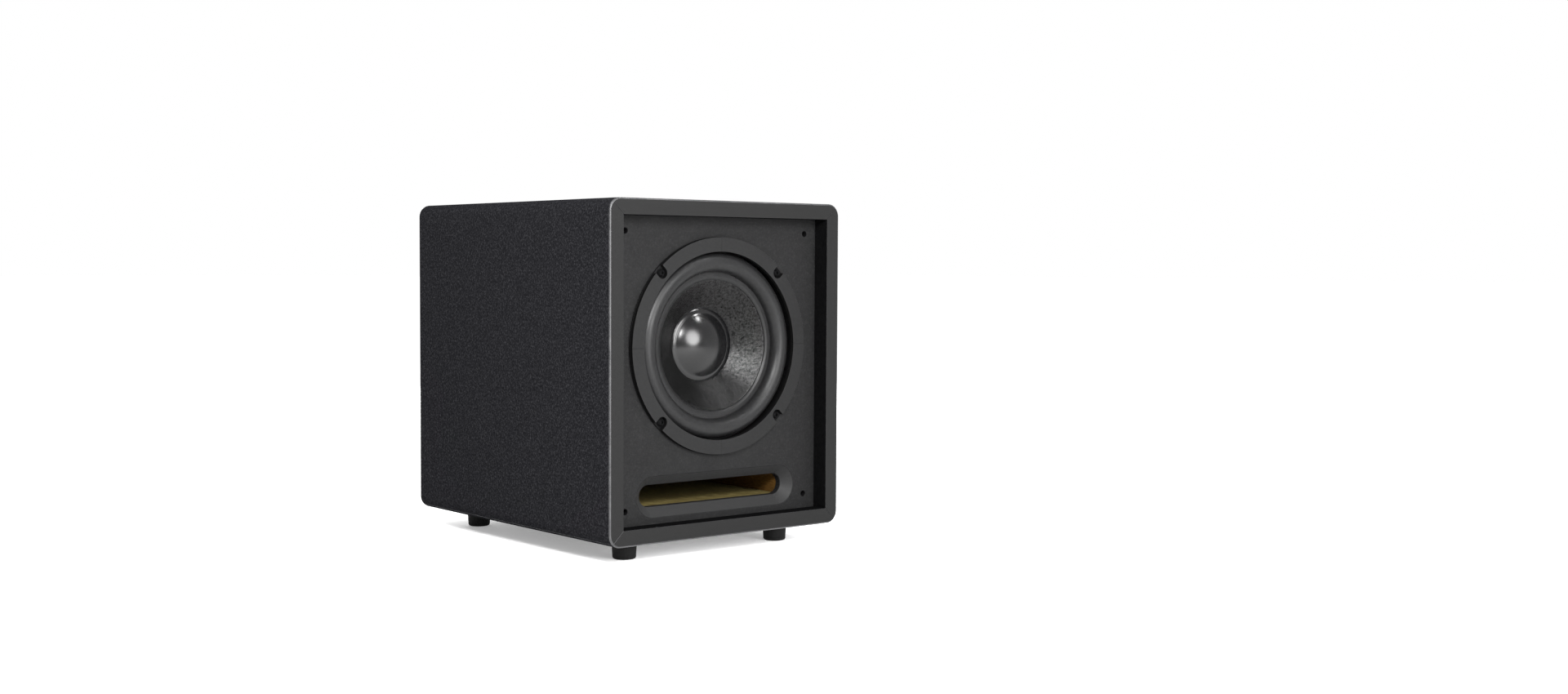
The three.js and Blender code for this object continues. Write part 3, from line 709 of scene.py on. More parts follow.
bm = turned(
    [
        (flange_radius, flange_face + 0.75), (90.45, flange_face + 0.75), (90.45, ledge_y + 0.75),
        (84, ledge_y + 0.75), (82, ledge_y + 5), (66.5, spider_ledge_y - 5.3), (63.6, spider_ledge_y + 0.1),
        (55.75, spider_ledge_y + 0.1), (55.75, motor_front - 0.75), (24, motor_front - 0.75),
    ],
    steps=96,
    closed=False,
)
window_inner, window_outer, window_half_angle = 67, 81, 34
windows = []
for face in bm.faces:
    centre = face.calc_center_median()
    radius = math.hypot(centre.x, centre.z)
    from_window = (math.degrees(math.atan2(centre.z, centre.x)) - 45) % 90
    if window_inner < radius < window_outer and min(from_window, 90 - from_window) < window_half_angle:
        windows.append(face)
bmesh.ops.delete(bm, geom=windows, context="FACES")
shift(bm, z=driver_z)
basket = settle(bm, "driver_basket_pressing", black_steel, stands_for=["driver_basket"])
give_wall(basket, 1.45, edge=0.3)

# ---- Trim ring ----------------------------------------------------------------------------------
# The flange is covered by four quarters of satin moulded rubber on black foam, butted at twelve,
# three, six and nine o'clock. Each has a round pocket, open to the rim, around one of the screws. The
# sides of the quarters are coloured near-black as the foam, painted shade for the dark outline.

trim_rubber = finish("trim_ring", (0.012, 0.012, 0.013), 0.5, gloss=0.08)
trim_grain = pattern(trim_rubber, 300, Detail=3, Roughness=0.6)
trim_wear = pattern(trim_rubber, 34, Detail=2)
colour_by(trim_rubber, trim_grain, (0.3, (0.0035, 0.0035, 0.0036)), (0.7, (0.0049, 0.0049, 0.0050)))
roughen_by(trim_rubber, trim_wear, 0.42, 0.56)
raise_by(trim_rubber, trim_grain, 0.05)

# Near-black foam finish: the black foam, and painted shade for the dark line round the ring and in its
# pockets.
foam_and_painted_shade = finish("foam_and_painted_shade", (0.0025, 0.0025, 0.0025), 0.9, gloss=0.05)
one_noise(foam_and_painted_shade, 900, (0.0006, 0.0006, 0.0006), (0.0012, 0.0012, 0.0012), (0.85, 0.98), 0.1, Detail=3)

ring_low, ring_high = extent("trim_ring_upper_right", "trim_ring_lower_left")
ring_face, ring_rear, ring_outer = ring_low.y, ring_high.y, ring_high.x
ring_inner = 88.3
pocket = 5.2
pocket_mouth = math.degrees(math.asin(pocket / ring_outer))


def round_point(radius, degrees):
    """A point on a circle about the Y axis, on the face of the trim ring."""
    return (radius * math.cos(math.radians(degrees)), ring_face, radius * math.sin(math.radians(degrees)))


for name, angle in zip(("upper_right", "upper_left", "lower_left", "lower_right"), bolt_angles):
    half = 44.95
    bm = bmesh.new()
    centre = (0, ring_face, 0)
    joined_path(
        bm,
        arc(bm, round_point(ring_inner, -half), centre, half * 2, 40),
        arc(bm, round_point(ring_outer, half), centre, pocket_mouth - half, 20),
        arc(bm, (bolt_circle, ring_face, pocket), (bolt_circle, ring_face, 0), 180, 20),
        arc(bm, round_point(ring_outer, -pocket_mouth), centre, pocket_mouth - half, 20),
        closed=True,
    )
    face = bmesh.ops.contextual_create(bm, geom=bm.edges[:])["faces"]
    raised = bmesh.ops.extrude_face_region(bm, geom=face, use_keep_orig=True)["geom"]
    bmesh.ops.translate(bm, vec=(0, ring_rear - ring_face, 0), verts=verts_in(raised))
    bmesh.ops.recalc_face_normals(bm, faces=bm.faces)
    rounded_rims = [
        edge
        for edge in sharp_edges(bm)
        if at_y(edge, ring_face) and max(abs(vert.co.z) for vert in edge.verts) < ring_inner * 0.7
    ]
    soften(bm, rounded_rims, 0.5, 3)
    # The sides and pocket walls take the foam finish, partly painted shade.
    for side in bm.faces:
        if abs(side.normal.y) < 0.3:
            side.material_index = 1
    turn_by(bm, Matrix.Rotation(math.radians(angle), 3, (0, -1, 0)))
    shift(bm, z=driver_z)
    piece = settle(bm, "trim_" + name, trim_rubber, "root", ["trim_ring_" + name], weighted=True)
    piece.data.materials.append(foam_and_painted_shade)

# ---- Surround -----------------------------------------------------------------------------------
# A half roll of satin butyl rubber with a flat landing on each side. The outer one is glued to the
# basket's ledge, and the inner one to the cone.

surround_rubber = finish("surround_rubber", (0.006, 0.006, 0.006), 0.38, gloss=0.12)
skin_grain = pattern(surround_rubber, 420, Detail=3)
skin_bloom = pattern(surround_rubber, 40, Detail=2)
colour_by(surround_rubber, skin_grain, (0.3, (0.0032, 0.0032, 0.0033)), (0.7, (0.0052, 0.0052, 0.0054)))
roughen_by(surround_rubber, skin_bloom, 0.32, 0.46)
raise_by(surround_rubber, skin_grain, 0.05)

rubber_wall = 0.75
landing_y = ledge_y - rubber_wall
roll_middle, roll_radius = 78.4, 9.4
landing_inner, landing_outer = 62, 89.4
cone_lip = 68.5


def spread_blend(piece):
    """Bakes a piece's placement into its mesh; the ring is not bent between bodies."""
    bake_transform(piece)


bm = bmesh.new()
roll_start = (roll_middle - roll_radius, landing_y, 0)
roll = arc(bm, roll_start, (roll_middle, landing_y, 0), 180, 20, axis=(0, 0, 1))
joined_path(bm, (landing_inner, landing_y, 0), (66, landing_y, 0), roll, (landing_outer, landing_y, 0))
spun_round(bm, 120)
shift(bm, z=driver_z)
surround = settle(bm, "surround_roll", surround_rubber, None, ["surround"])
spread_blend(surround)
# The edge of the rubber takes the foam finish, partly painted shade.
surround.data.materials.append(foam_and_painted_shade)
give_wall(surround, rubber_wall, offset=-1, rim_slot=1)

# ---- Cone and dust cap --------------------------------------------------------------------------
# The cone is pressed paper under a glossy black lacquer, which shows the fibre as a fine grain. A
# glossy domed cap is glued over its neck by a narrow flange with a bead of black glue round it.

cone_skin = finish("cone_skin", (0.003, 0.003, 0.003), 0.3, gloss=0.11)
paper_grain = pattern(cone_skin, 460, Detail=4, Roughness=0.8)
paper_clumps = pattern(cone_skin, 150, Detail=3)
colour_by(cone_skin, paper_clumps, (0.3, (0.0004, 0.0004, 0.0004)), (0.7, (0.0009, 0.0009, 0.0009)))
roughen_by(cone_skin, paper_grain, 0.13, 0.24)
roughen_by(cone_skin, paper_grain, 0.0, 0.24, "Specular IOR Level")
coarse_relief = raise_by(cone_skin, paper_clumps, 0.05)
raise_by(cone_skin, paper_grain, 0.32, under=coarse_relief)

cap_gloss = finish("cap_gloss", (0.006, 0.006, 0.006), 0.26, gloss=0.24)
one_noise(cap_gloss, 60, (0.0008, 0.0008, 0.0009), (0.0016, 0.0016, 0.0017), (0.17, 0.24), 0.006, Detail=3)

cone_neck, neck_y, cone_edge = 19.5, extent("cone")[1].y, 61.7
cone_wall = 1.2
cone_face_y = neck_y - cone_wall
bm = turned(
    [
        (cone_neck, cone_face_y),
        (30, cone_face_y + (ledge_y - cone_face_y) * (30 - cone_neck) / (cone_edge - cone_neck)),
        (47, cone_face_y + (ledge_y - cone_face_y) * (47 - cone_neck) / (cone_edge - cone_neck) - 0.1),
        (cone_edge - 1.2, ledge_y + 0.7), (cone_edge, ledge_y + 0.05), (cone_lip, ledge_y + 0.05),
    ],
    z=driver_z,
    steps=120,
    closed=False,
)
cone = settle(bm, "cone_paper", cone_skin, body="moving_cone", stands_for=["cone"])
give_wall(cone, 0.95, offset=-1)

cap_low, cap_high = extent("dust_cap")
cap_flange, cap_radius, cap_front = cap_high.x, 30, cap_low.y
dome_rise = 9.4
dome_sphere = (cap_radius**2 + dome_rise**2) / (2 * dome_rise)
dome_angle = math.degrees(math.asin(cap_radius / dome_sphere))
bm = bmesh.new()
dome = arc(bm, (0, cap_front, 0), (0, cap_front + dome_sphere, 0), dome_angle, 14, axis=(0, 0, 1))
joined_path(bm, dome, (cap_radius + 0.8, cap_front + dome_rise + 0.35, 0), (cap_flange, cap_high.y - 1.0, 0))
spun_round(bm, 96)
shift(bm, z=driver_z)
dust_cap = settle(bm, "dust_cap_dome", cap_gloss, body="moving_cone", stands_for=["dust_cap"])
give_wall(dust_cap, 0.7, offset=-1)

glue = finish("glue_bead", (0.004, 0.004, 0.004), 0.2, gloss=0.1)
one_noise(glue, 140, (0.0006, 0.0006, 0.0006), (0.0014, 0.0014, 0.0014), (0.16, 0.3), 0.05, Detail=2)
bead_y = cap_high.y - 1.1
bead = [(35.2, 0), (35.5, -0.45), (36.1, -0.7), (36.7, -0.6), (37, -0.4), (36, 0.5)]
bm = turned([(radius, bead_y + y) for radius, y in bead], z=driver_z, steps=96)
settle(bm, "dust_cap_glue_bead", glue, body="moving_cone")

# ---- Voice coil ---------------------------------------------------------------------------------
# A tube of amber film carries four layers of enamelled copper wire in the motor's gap. It is glued
# into the neck of the cone and moves with it.

former_film = finish("former_film", (0.45, 0.24, 0.05), 0.35)
one_noise(
    former_film, 120, (0.36, 0.18, 0.03), (0.54, 0.31, 0.08), (0.28, 0.42), stretch=(1, 4, 1), Detail=3
)

copper_wire = finish("copper_wire", (0.55, 0.21, 0.07), 0.3, metal=0.9)
turns_of_wire = pattern(copper_wire, 700, (0, 1, 0), kind="Wave", Distortion=0.3)
colour_by(copper_wire, turns_of_wire, (0.2, (0.28, 0.09, 0.02)), (0.7, (0.62, 0.26, 0.09)))
roughen_by(copper_wire, turns_of_wire, 0.24, 0.4)
raise_by(copper_wire, turns_of_wire, 0.12)

former_low, former_high = extent("coil_former")
bm = turned(tube(18.7, 19.1, former_low.y, former_high.y), z=driver_z, steps=96)
settle(bm, "coil_former_tube", former_film, body="moving_cone", stands_for=["coil_former"])

winding_low, winding_high = extent("voice_coil")
bm = turned(tube(19.2, 20.2, winding_low.y, winding_high.y), z=driver_z, steps=96)
soften(bm, sharp_edges(bm), 0.25, 2)
settle(bm, "voice_coil_winding", copper_wire, body="moving_cone", stands_for=["voice_coil"])

# ---- Spider -------------------------------------------------------------------------------------
# A disc of resin-dipped cotton pressed into even ripples. Its outer edge is glued to the basket and
# its inner edge to the former.

spider_cloth = finish("spider_cloth", (0.42, 0.27, 0.12), 0.85)
threads = pattern(spider_cloth, 420, kind="Wave", Distortion=0.4)
cloth_stain = pattern(spider_cloth, 30, Detail=2)
colour_by(spider_cloth, cloth_stain, (0.3, (0.34, 0.20, 0.08)), (0.7, (0.50, 0.34, 0.16)))
roughen_by(spider_cloth, threads, 0.75, 0.95)
raise_by(spider_cloth, threads, 0.15)

spider_inner, spider_outer, spider_y = 19.4, 61.5, middle_of("spider").y - 0.4
ripples, ripple_height = 3, 1.35
ripple_length = (spider_outer - spider_inner) / ripples
wave = ((0.17, 0.85), (0.25, 1), (0.33, 0.85), (0.5, 0), (0.67, -0.85), (0.75, -1), (0.83, -0.85), (1, 0))
ripple_profile = [(spider_inner, spider_y)]
for ripple in range(ripples):
    start = spider_inner + ripple * ripple_length
    for share, height in wave:
        ripple_profile.append((start + share * ripple_length, spider_y + height * ripple_height))
bm = turned(ripple_profile, z=driver_z, steps=72, closed=False)
spider = settle(bm, "spider_disc", spider_cloth, body=None, stands_for=["spider"])
spread_blend(spider)
give_wall(spider, 0.6)

# ---- Motor --------------------------------------------------------------------------------------
# A ring of black ferrite between a plated top plate and a plated yoke, whose vented pole stands in
# the voice coil.

ferrite = finish("magnet_ferrite", (0.025, 0.025, 0.027), 0.6)
one_noise(
    ferrite, 200, (0.018, 0.018, 0.020), (0.040, 0.040, 0.042), (0.5, 0.75), 0.1, Detail=4, Roughness=0.7
)

top_low, top_high = extent("motor_top_plate")
bm = turned(tube(21.2, 56, top_low.y, top_high.y), z=driver_z, steps=96)
soften(bm, sharp_edges(bm), 0.6, 2)
settle(bm, "top_plate_washer", plated_steel, stands_for=["motor_top_plate"])

magnet_low, magnet_high = extent("motor_magnet")
bm = turned(tube(34, 62, magnet_low.y, magnet_high.y), z=driver_z, steps=96)
soften(bm, sharp_edges(bm), 1.2, 3)
settle(bm, "magnet_ring", ferrite, stands_for=["motor_magnet"])

yoke_low, yoke_high = extent("motor_yoke")
yoke_profile = [
    (5, yoke_low.y), (18, yoke_low.y), (18, magnet_high.y), (56, magnet_high.y), (56, yoke_high.y),
    (5, yoke_high.y),
]
bm = turned(yoke_profile, z=driver_z, steps=96)
soften(bm, sharp_edges(bm), 0.8, 2)
settle(bm, "yoke_and_pole", plated_steel, stands_for=["motor_yoke"])

# ---- Driver terminal ----------------------------------------------------------------------------
# A strip of black laminate riveted to the basket. Two upright tags stand out of it, for the two ends
# of the speaker lead.

terminal_low, terminal_high = extent("driver_terminal")
strip_x = terminal_low.x + 8
terminal_middle = (terminal_low + terminal_high) / 2
bm = bmesh.new()
block(bm, (strip_x, terminal_low.y, terminal_low.z), terminal_high)
for side in (-1, 1):
    z = terminal_middle.z + side * 6
    low = (terminal_low.x, terminal_middle.y - 3, z - 0.4)
    block(bm, low, (strip_x + 1, terminal_middle.y + 3, z + 0.4))
soften(bm, sharp_edges(bm), 0.3, 2)
settle(bm, "terminal_strip", black_plastic, stands_for=["driver_terminal"], weighted=True)

# ---- Driver screws ------------------------------------------------------------------------------
# Four black countersunk wood screws with a hexagon socket, one in each pocket of the trim ring.


def screw_head(x, z, y, height, radius, socket, side=-1, deep=0.6):
    """A domed head that rests on a plane at y, with a hexagon socket. The side is where it faces."""
    crown = y + side * height
    dome = [(socket * 1.25, 1), (radius * 0.72, 0.86), (radius, 0.4), (radius, 0)]
    bm = turned([(reach, y + side * height * share) for reach, share in dome], steps=24, closed=False)
    base = [edge for edge in bm.edges if at_y(edge, y)]
    bmesh.ops.contextual_create(bm, geom=base)
    opening = [edge for edge in bm.edges if edge.is_boundary]
    upright = Matrix.Translation((0, crown, 0)) @ quarter_turn("X")
    mouth = bmesh.ops.create_circle(bm, segments=6, radius=socket, matrix=upright)["verts"]
    mouth_edges = closed_ring(mouth)
    bmesh.ops.triangle_fill(bm, edges=opening + mouth_edges, use_beauty=True)
    wall = bmesh.ops.extrude_edge_only(bm, edges=mouth_edges)["geom"]
    low = verts_in(wall)
    bmesh.ops.translate(bm, vec=(0, -side * height * deep, 0), verts=low)
    bottom = [item for item in wall if isinstance(item, bmesh.types.BMEdge) and set(item.verts) <= set(low)]
    bmesh.ops.contextual_create(bm, geom=bottom)
    shift(bm, x, 0, z)
    return bm


for number, angle in enumerate(bolt_angles, 1):
    x = bolt_circle * math.cos(math.radians(angle))
    z = driver_z + bolt_circle * math.sin(math.radians(angle))
    node = "driver_screw_%d" % number
    bm = screw_head(x, z, flange_face, flange_face - extent(node)[0].y, 3.7, 1.9)
    settle(bm, node + "_head", black_steel, stands_for=[node])

# ---- Amplifier plate ----------------------------------------------------------------------------
# A 3 mm aluminium plate with round corners, brushed upright and anodised black. Ten holes and windows
# are cut in it for the controls, the jacks, the switch, the inlet and the heat sink.

brushed_black = finish("amplifier_plate", (0.012, 0.012, 0.013), 0.42, metal=0.35, gloss=0.35)
brush_lines = pattern(brushed_black, 900, (1, 0.1, 0.016), Detail=4, Roughness=0.7)
brush_bands = pattern(brushed_black, 160, (1, 0.1, 0.03), Detail=3)
colour_by(
    brushed_black,
    brush_lines,
    (0.30, (0.0060, 0.0060, 0.0064)), (0.55, (0.0115, 0.0116, 0.0120)), (0.75, (0.0300, 0.0300, 0.0310)),
)
roughen_by(brushed_black, brush_bands, 0.34, 0.52)
raise_by(brushed_black, brush_lines, 0.03)

plate_face, plate_back = plate_high.y, plate_low.y
knob_places = {name: middle_of(name + "_knob") for name in ("level", "low_cut", "high_cut", "phase")}
jack_places = {name: middle_of("input_jack_" + name) for name in ("white", "red")}
lamp_place = middle_of("power_lamp")
sink_low, sink_high = extent("heatsink")
sink_flange = 3.5
sink_middle = (sink_low + sink_high) / 2
sink_width = sink_high.x - sink_low.x - sink_flange * 2
sink_height = sink_high.z - sink_low.z - sink_flange * 2
switch_low, switch_high = extent("switch_housing")
switch_middle = (switch_low + switch_high) / 2
inlet_low, inlet_high = extent("mains_inlet")
inlet_middle = (inlet_low + inlet_high) / 2
inlet_width, inlet_height = 29, 34


def through_plate(outline):
    return [(outline, plate_face), (outline, plate_back)]


plate_outline = rounded(0, plate_middle.z, plate_high.x * 2, plate_high.z - plate_low.z, 5, 48)
bm = hollowed(
    through_plate(plate_outline),
    through_plate(rounded(sink_middle.x, sink_middle.z, sink_width + 0.8, sink_height + 0.8, 0.4, 8)),
    through_plate(rounded(switch_middle.x, switch_middle.z, 19.4, 13.8, 0.5, 8)),
    through_plate(rounded(inlet_middle.x, inlet_middle.z, inlet_width - 1.2, inlet_height - 2.2, 0.5, 8)),
    through_plate(round_hole(lamp_place.x, lamp_place.z, 1.9)),
    *[through_plate(round_hole(place.x, place.z, 3.6)) for place in knob_places.values()],
    *[through_plate(round_hole(place.x, place.z, 4.5, 32)) for place in jack_places.values()],
)
soften(bm, [edge for edge in sharp_edges(bm) if at_y(edge, plate_face)], 0.3, 2)
settle(
    bm, "amplifier_face_plate", brushed_black, stands_for=["amplifier_plate"], weighted=True
)

# ---- Printed marks ------------------------------------------------------------------------------
# White ink screened on the plate: a rounded frame round the controls and jacks, a scale round each
# knob with its plain numbers, and short generic words.

white_ink = finish("white_ink", (0.72, 0.72, 0.71), 0.5)
ink_grain = pattern(white_ink, 800, Detail=2)
colour_by(white_ink, ink_grain, (0.25, (0.55, 0.55, 0.54)), (0.6, (0.76, 0.76, 0.75)))
roughen_by(white_ink, ink_grain, 0.42, 0.6)

ink_depth = 0.06
ink_face = plate_face + ink_depth


def raised_print(bm):
    """Gives flat ink, drawn on the plate, its depth."""
    made = bmesh.ops.extrude_face_region(bm, geom=bm.faces[:], use_keep_orig=True)["geom"]
    bmesh.ops.translate(bm, vec=(0, ink_depth, 0), verts=verts_in(made))
    bmesh.ops.recalc_face_normals(bm, faces=bm.faces)


def ink_bar(bm, x, z, length, width, degrees, reach):
    """A printed tick. It lies at a reach from a point, at an angle clockwise from twelve o'clock."""
    upright = quarter_turn("X")
    made = bmesh.ops.create_grid(bm, x_segments=1, y_segments=1, size=0.5, matrix=upright)["verts"]
    bmesh.ops.scale(bm, vec=(width, 1, length), verts=made)
    bmesh.ops.translate(bm, vec=(0, 0, reach), verts=made)
    turn = Matrix.Rotation(math.radians(-degrees), 3, "Y")
    bmesh.ops.rotate(bm, cent=(0, 0, 0), matrix=turn, verts=made)
    bmesh.ops.translate(bm, vec=(x, plate_face, z), verts=made)


def ink_word(word, x, z, height, name):
    """A short word in plain capitals, read from behind the cabinet."""
    curve = bpy.data.curves.new(name, "FONT")
    curve.body = word
    curve.size = height * 1.38
    curve.align_x = "CENTER"
    curve.align_y = "CENTER"
    curve.extrude = ink_depth / 2
    curve.resolution_u = 3
    holder = bpy.data.objects.new(name + "_outline", curve)
    bpy.context.collection.objects.link(holder)
    bpy.context.view_layer.update()
    mesh = bpy.data.meshes.new_from_object(holder)
    bpy.data.objects.remove(holder)
    bm = bmesh.new()
    bm.from_mesh(mesh)
    facing_back = Matrix.Rotation(math.radians(180), 3, "Z") @ quarter_turn("X", 3)
    turn_by(bm, facing_back)
    shift(bm, x, plate_face + ink_depth / 2, z)
    settle(bm, name, white_ink)


frame_x, frame_z, frame_width, frame_height, frame_line = 36.45, 206.85, 30.9, 138.5, 0.75
frame_outlines = [
    rounded(frame_x, frame_z, frame_width - inward * 2, frame_height - inward * 2, 4.5 - inward, 48)
    for inward in (0, frame_line)
]
bm = hollowed(*[[(outline, ink_face), (outline, plate_face)] for outline in frame_outlines])
settle(bm, "printed_frame", white_ink)

scale_start, scale_sweep, scale_radius = 215, 290, 9.1
for name, place in knob_places.items():
    bm = bmesh.new()
    turn = Matrix.Rotation(math.radians(-scale_start), 4, "Y")
    band_edges = (scale_radius, scale_radius + 0.4)
    band = [bm.verts.new(turn @ Vector((0, plate_face, radius))) for radius in band_edges]
    band.append(bm.edges.new(band))
    spin(bm, band, (0, 0, 0), (0, -1, 0), scale_sweep, scale_sweep // 5)
    shift(bm, place.x, 0, place.z)
    for degrees in range(-scale_sweep // 2, scale_sweep // 2 + 1, scale_sweep // 10):
        ink_bar(bm, place.x, place.z, 0.9, 0.35, degrees, scale_radius + 0.75)
    raised_print(bm)
    settle(bm, name + "_scale", white_ink, weld=False)
    ink_word("0", place.x + 8.4, place.z - 9.2, 1.9, name + "_scale_start")
    ink_word("10", place.x - 8.4, place.z - 9.2, 1.9, name + "_scale_end")
    ink_word(name.split("_")[0].upper(), place.x, place.z + 12.1, 1.9, name + "_word")
ink_word("LINE IN", jack_places["white"].x - 7, 141.6, 2.1, "input_word")
ink_word("OFF", switch_middle.x + 8.5, switch_low.z - 2.6, 2.0, "off_word")
ink_word("ON", switch_middle.x - 8.5, switch_low.z - 2.6, 2.0, "on_word")

# ---- Heat sink ----------------------------------------------------------------------------------
# One black-anodised extrusion of seven upright fins, clamped behind the plate so that the fins stand
# out through its window. Two small screws between the fins hold the power transistors.

anodised = finish("black_anodising", (0.008, 0.008, 0.009), 0.5, metal=0.3, gloss=0.3)
valley, crest, upright_lines = (0.005, 0.005, 0.006), (0.014, 0.014, 0.015), (1, 1, 0.02)
one_noise(anodised, 700, valley, crest, (0.42, 0.6), 0.03, upright_lines, Detail=3)

fin_count, fin_thickness = 7, 1.8
fin_pitch = (sink_width - fin_thickness) / (fin_count - 1)
sink_left = sink_low.x + sink_flange
fin_low, fin_high = sink_low.z + sink_flange, sink_high.z - sink_flange
bm = bmesh.new()
block(bm, (sink_low.x, sink_low.y, sink_low.z), (sink_high.x, sink_low.y + 3, sink_high.z))
block(bm, (sink_left, sink_low.y + 2, fin_low), (sink_left + sink_width, plate_face - 0.5, fin_high))
for number in range(fin_count):
    x = sink_left + fin_pitch * number
    block(bm, (x, plate_face - 1, fin_low), (x + fin_thickness, sink_high.y, fin_high))
soften(bm, sharp_edges(bm), 0.35, 2)
settle(bm, "heat_sink_extrusion", anodised, stands_for=["heatsink"], weighted=True)

for number, gap in enumerate((1, 5), 1):
    x = sink_left + fin_thickness / 2 + fin_pitch * (gap + 0.5)
    bm = screw_head(x, fin_low + 20, plate_face - 0.5, 1.6, 2.4, 1.0, side=1)
    settle(bm, "transistor_screw_%d" % number, plated_steel)

# ---- Plate screws -------------------------------------------------------------------------------
# Eight black pan-head screws hold the plate to the wood. Six small bright ones hold the boards and
# the transformer behind it, and a black one fixes the jacks. All have a cross recess.


def pan_screw(x, z, y, height, radius, turn=20):
    """A domed head that faces back, with a cross recess turned by some degrees."""
    crown = y + height
    dome = [(radius * 0.62, 1), (radius * 0.86, 0.8), (radius, 0.35), (radius, 0)]
    bm = turned([(reach, y + height * share) for reach, share in dome], steps=24, closed=False)
    bmesh.ops.contextual_create(bm, geom=[edge for edge in bm.edges if at_y(edge, y)])
    opening = [edge for edge in bm.edges if edge.is_boundary]
    around = Matrix.Translation((0, crown, 0)) @ Matrix.Rotation(math.radians(turn), 4, "Y")
    around = around @ quarter_turn("X")
    cross = bmesh.ops.create_grid(bm, x_segments=3, y_segments=3, size=radius * 0.5, matrix=around)["verts"]
    tiles = {face for vert in cross for face in vert.link_faces}
    middle = Vector((0, crown, 0))
    by_distance = sorted(tiles, key=lambda face: (face.calc_center_median() - middle).length)
    bmesh.ops.delete(bm, geom=by_distance[5:], context="FACES")
    recess = by_distance[:5]
    outline = [edge for face in recess for edge in face.edges if edge.is_boundary]
    bmesh.ops.triangle_fill(bm, edges=opening + outline, use_beauty=True)
    sunk = bmesh.ops.extrude_face_region(bm, geom=recess)["geom"]
    verts = verts_in(sunk)
    bmesh.ops.translate(bm, vec=(0, -height * 0.55, 0), verts=verts)
    bmesh.ops.scale(bm, vec=(0.7, 1, 0.7), verts=verts)
    shift(bm, x, 0, z)
    return bm


plate_screw_x, plate_screw_z, washer_height = 80, 103, 0.3
plate_screw_places = [
    (x * plate_screw_x, plate_middle.z + z * plate_screw_z)
    for x in (-1, 0, 1)
    for z in (-1, 0, 1)
    if (x, z) != (0, 0)
]
for number, (x, z) in enumerate(plate_screw_places, 1):
    washer = [(1.8, 0), (4.2, 0), (4.2, washer_height), (1.8, washer_height + 0.15)]
    bm = turned([(radius, plate_face + y) for radius, y in washer], x, z, 32)
    settle(bm, "plate_washer_%d" % number, black_steel)
    bm = pan_screw(x, z, plate_face + washer_height, 2.1, 3.3, turn=number * 37)
    settle(bm, "plate_screw_%d" % number, black_steel)

pillar_places = ((11.8, 179.4), (11.8, 155.5))
jack_board_screws, transformer_screws = ((26.6, 124.7), (26.6, 107.3)), ((-66.4, 125), (-66.4, 107))
for number, (x, z) in enumerate((*pillar_places, *jack_board_screws, *transformer_screws), 1):
    bm = pan_screw(x, z, plate_face, 1.5, 2.6, turn=number * 31)
    settle(bm, "board_screw_%d" % number, plated_steel)
bm = pan_screw(37.6, 158.1, plate_face, 1.3, 2.1, turn=12)
settle(bm, "jack_screw", black_steel)

# ---- Controls -----------------------------------------------------------------------------------
# Four potentiometers, each held to the plate by a nut on its bushing. A round black knob is pushed on
# the shaft, with a bright ring round its dark face and a white pointer.

knob_plastic = finish("knob_plastic", (0.010, 0.010, 0.011), 0.32, gloss=0.45)
knob_dark, knob_light, drawn_out = (0.007, 0.007, 0.008), (0.015, 0.015, 0.016), (1, 0.2, 1)
one_noise(knob_plastic, 420, knob_dark, knob_light, (0.26, 0.42), 0.03, drawn_out, Detail=3)

bright_metal = finish("bright_metal", (0.72, 0.72, 0.73), 0.16, metal=1.0)
one_noise(bright_metal, 260, (0.62, 0.62, 0.63), (0.80, 0.80, 0.81), (0.12, 0.26), Detail=3)

pointer_angle = 130
for name, place in knob_places.items():
    low, high = extent(name + "_knob")
    body, end = name + "_knob", high.y
    radius = (high.z - low.z) / 2 - 0.02
    knob_profile = [
        (0, low.y), (2.4, low.y), (2.4, plate_face + 3.5), (4, plate_face + 3.5), (4, plate_face + 1),
        (radius - 0.2, plate_face + 1), (radius, plate_face + 1.5), (radius - 0.3, end - 2.6),
        (radius - 1.5, end - 2.4), (radius - 1.5, end - 0.8), (0, end - 0.8),
    ]
    bm = turned(knob_profile, place.x, place.z, 64)
    settle(bm, name + "_knob_body", knob_plastic, body=body, stands_for=[name + "_knob"])
    ring_profile = [
        (radius - 1.55, end - 2.4), (radius - 0.4, end - 2.5), (radius, end - 2.2), (radius, end - 0.6),
        (radius - 0.4, end - 0.1), (radius - 0.9, end), (radius - 1.4, end - 0.2),
        (radius - 1.6, end - 0.7),
    ]
    bm = turned(ring_profile, place.x, place.z, 64)
    settle(bm, name + "_knob_ring", bright_metal, body=body)
    bm = eased_block((-0.55, end - 0.85, 0.8), (0.55, end - 0.6, radius - 1.6), 0.08, 1)
    turn_by(bm, Matrix.Rotation(math.radians(-pointer_angle), 3, "Y"))
    shift(bm, place.x, 0, place.z)
    settle(bm, name + "_knob_pointer", white_ink, body=body)

    pot_low, pot_high = extent(name + "_potentiometer")
    bushing, bore = 3.3, 2.7
    pot_profile = [
        (0, pot_low.y), (7.4, pot_low.y), (8, pot_low.y + 0.6), (8, plate_back - 0.3),
        (bushing, plate_back - 0.3), (bushing, pot_high.y), (bore, pot_high.y), (bore, low.y - 0.5),
        (0, low.y - 0.5),
    ]
    bm = turned(pot_profile, place.x, place.z, 48)
    node = name + "_potentiometer"
    settle(bm, node + "_can", plated_steel, stands_for=[node])

# ---- Power lamp ---------------------------------------------------------------------------------
# A red lens no bigger than a match head, pushed through the plate between the second and the third
# knob.

lamp_red = finish("lamp_red", (0.55, 0.008, 0.006), 0.2, gloss=0.6)
one_noise(lamp_red, 500, (0.42, 0.005, 0.004), (0.70, 0.015, 0.010), (0.14, 0.26), Detail=2)
lamp_low, lamp_high = extent("power_lamp")
lamp_radius = (lamp_high.x - lamp_low.x) / 2
lamp_profile = [
    (0, lamp_low.y), (lamp_radius, lamp_low.y), (lamp_radius, plate_face + 0.6),
    (lamp_radius * 0.86, plate_face + 1.2), (lamp_radius * 0.5, lamp_high.y - 0.15), (0, lamp_high.y),
]
bm = turned(lamp_profile, lamp_place.x, lamp_place.z, 32)
settle(bm, "power_lamp_lens", lamp_red, stands_for=["power_lamp"])

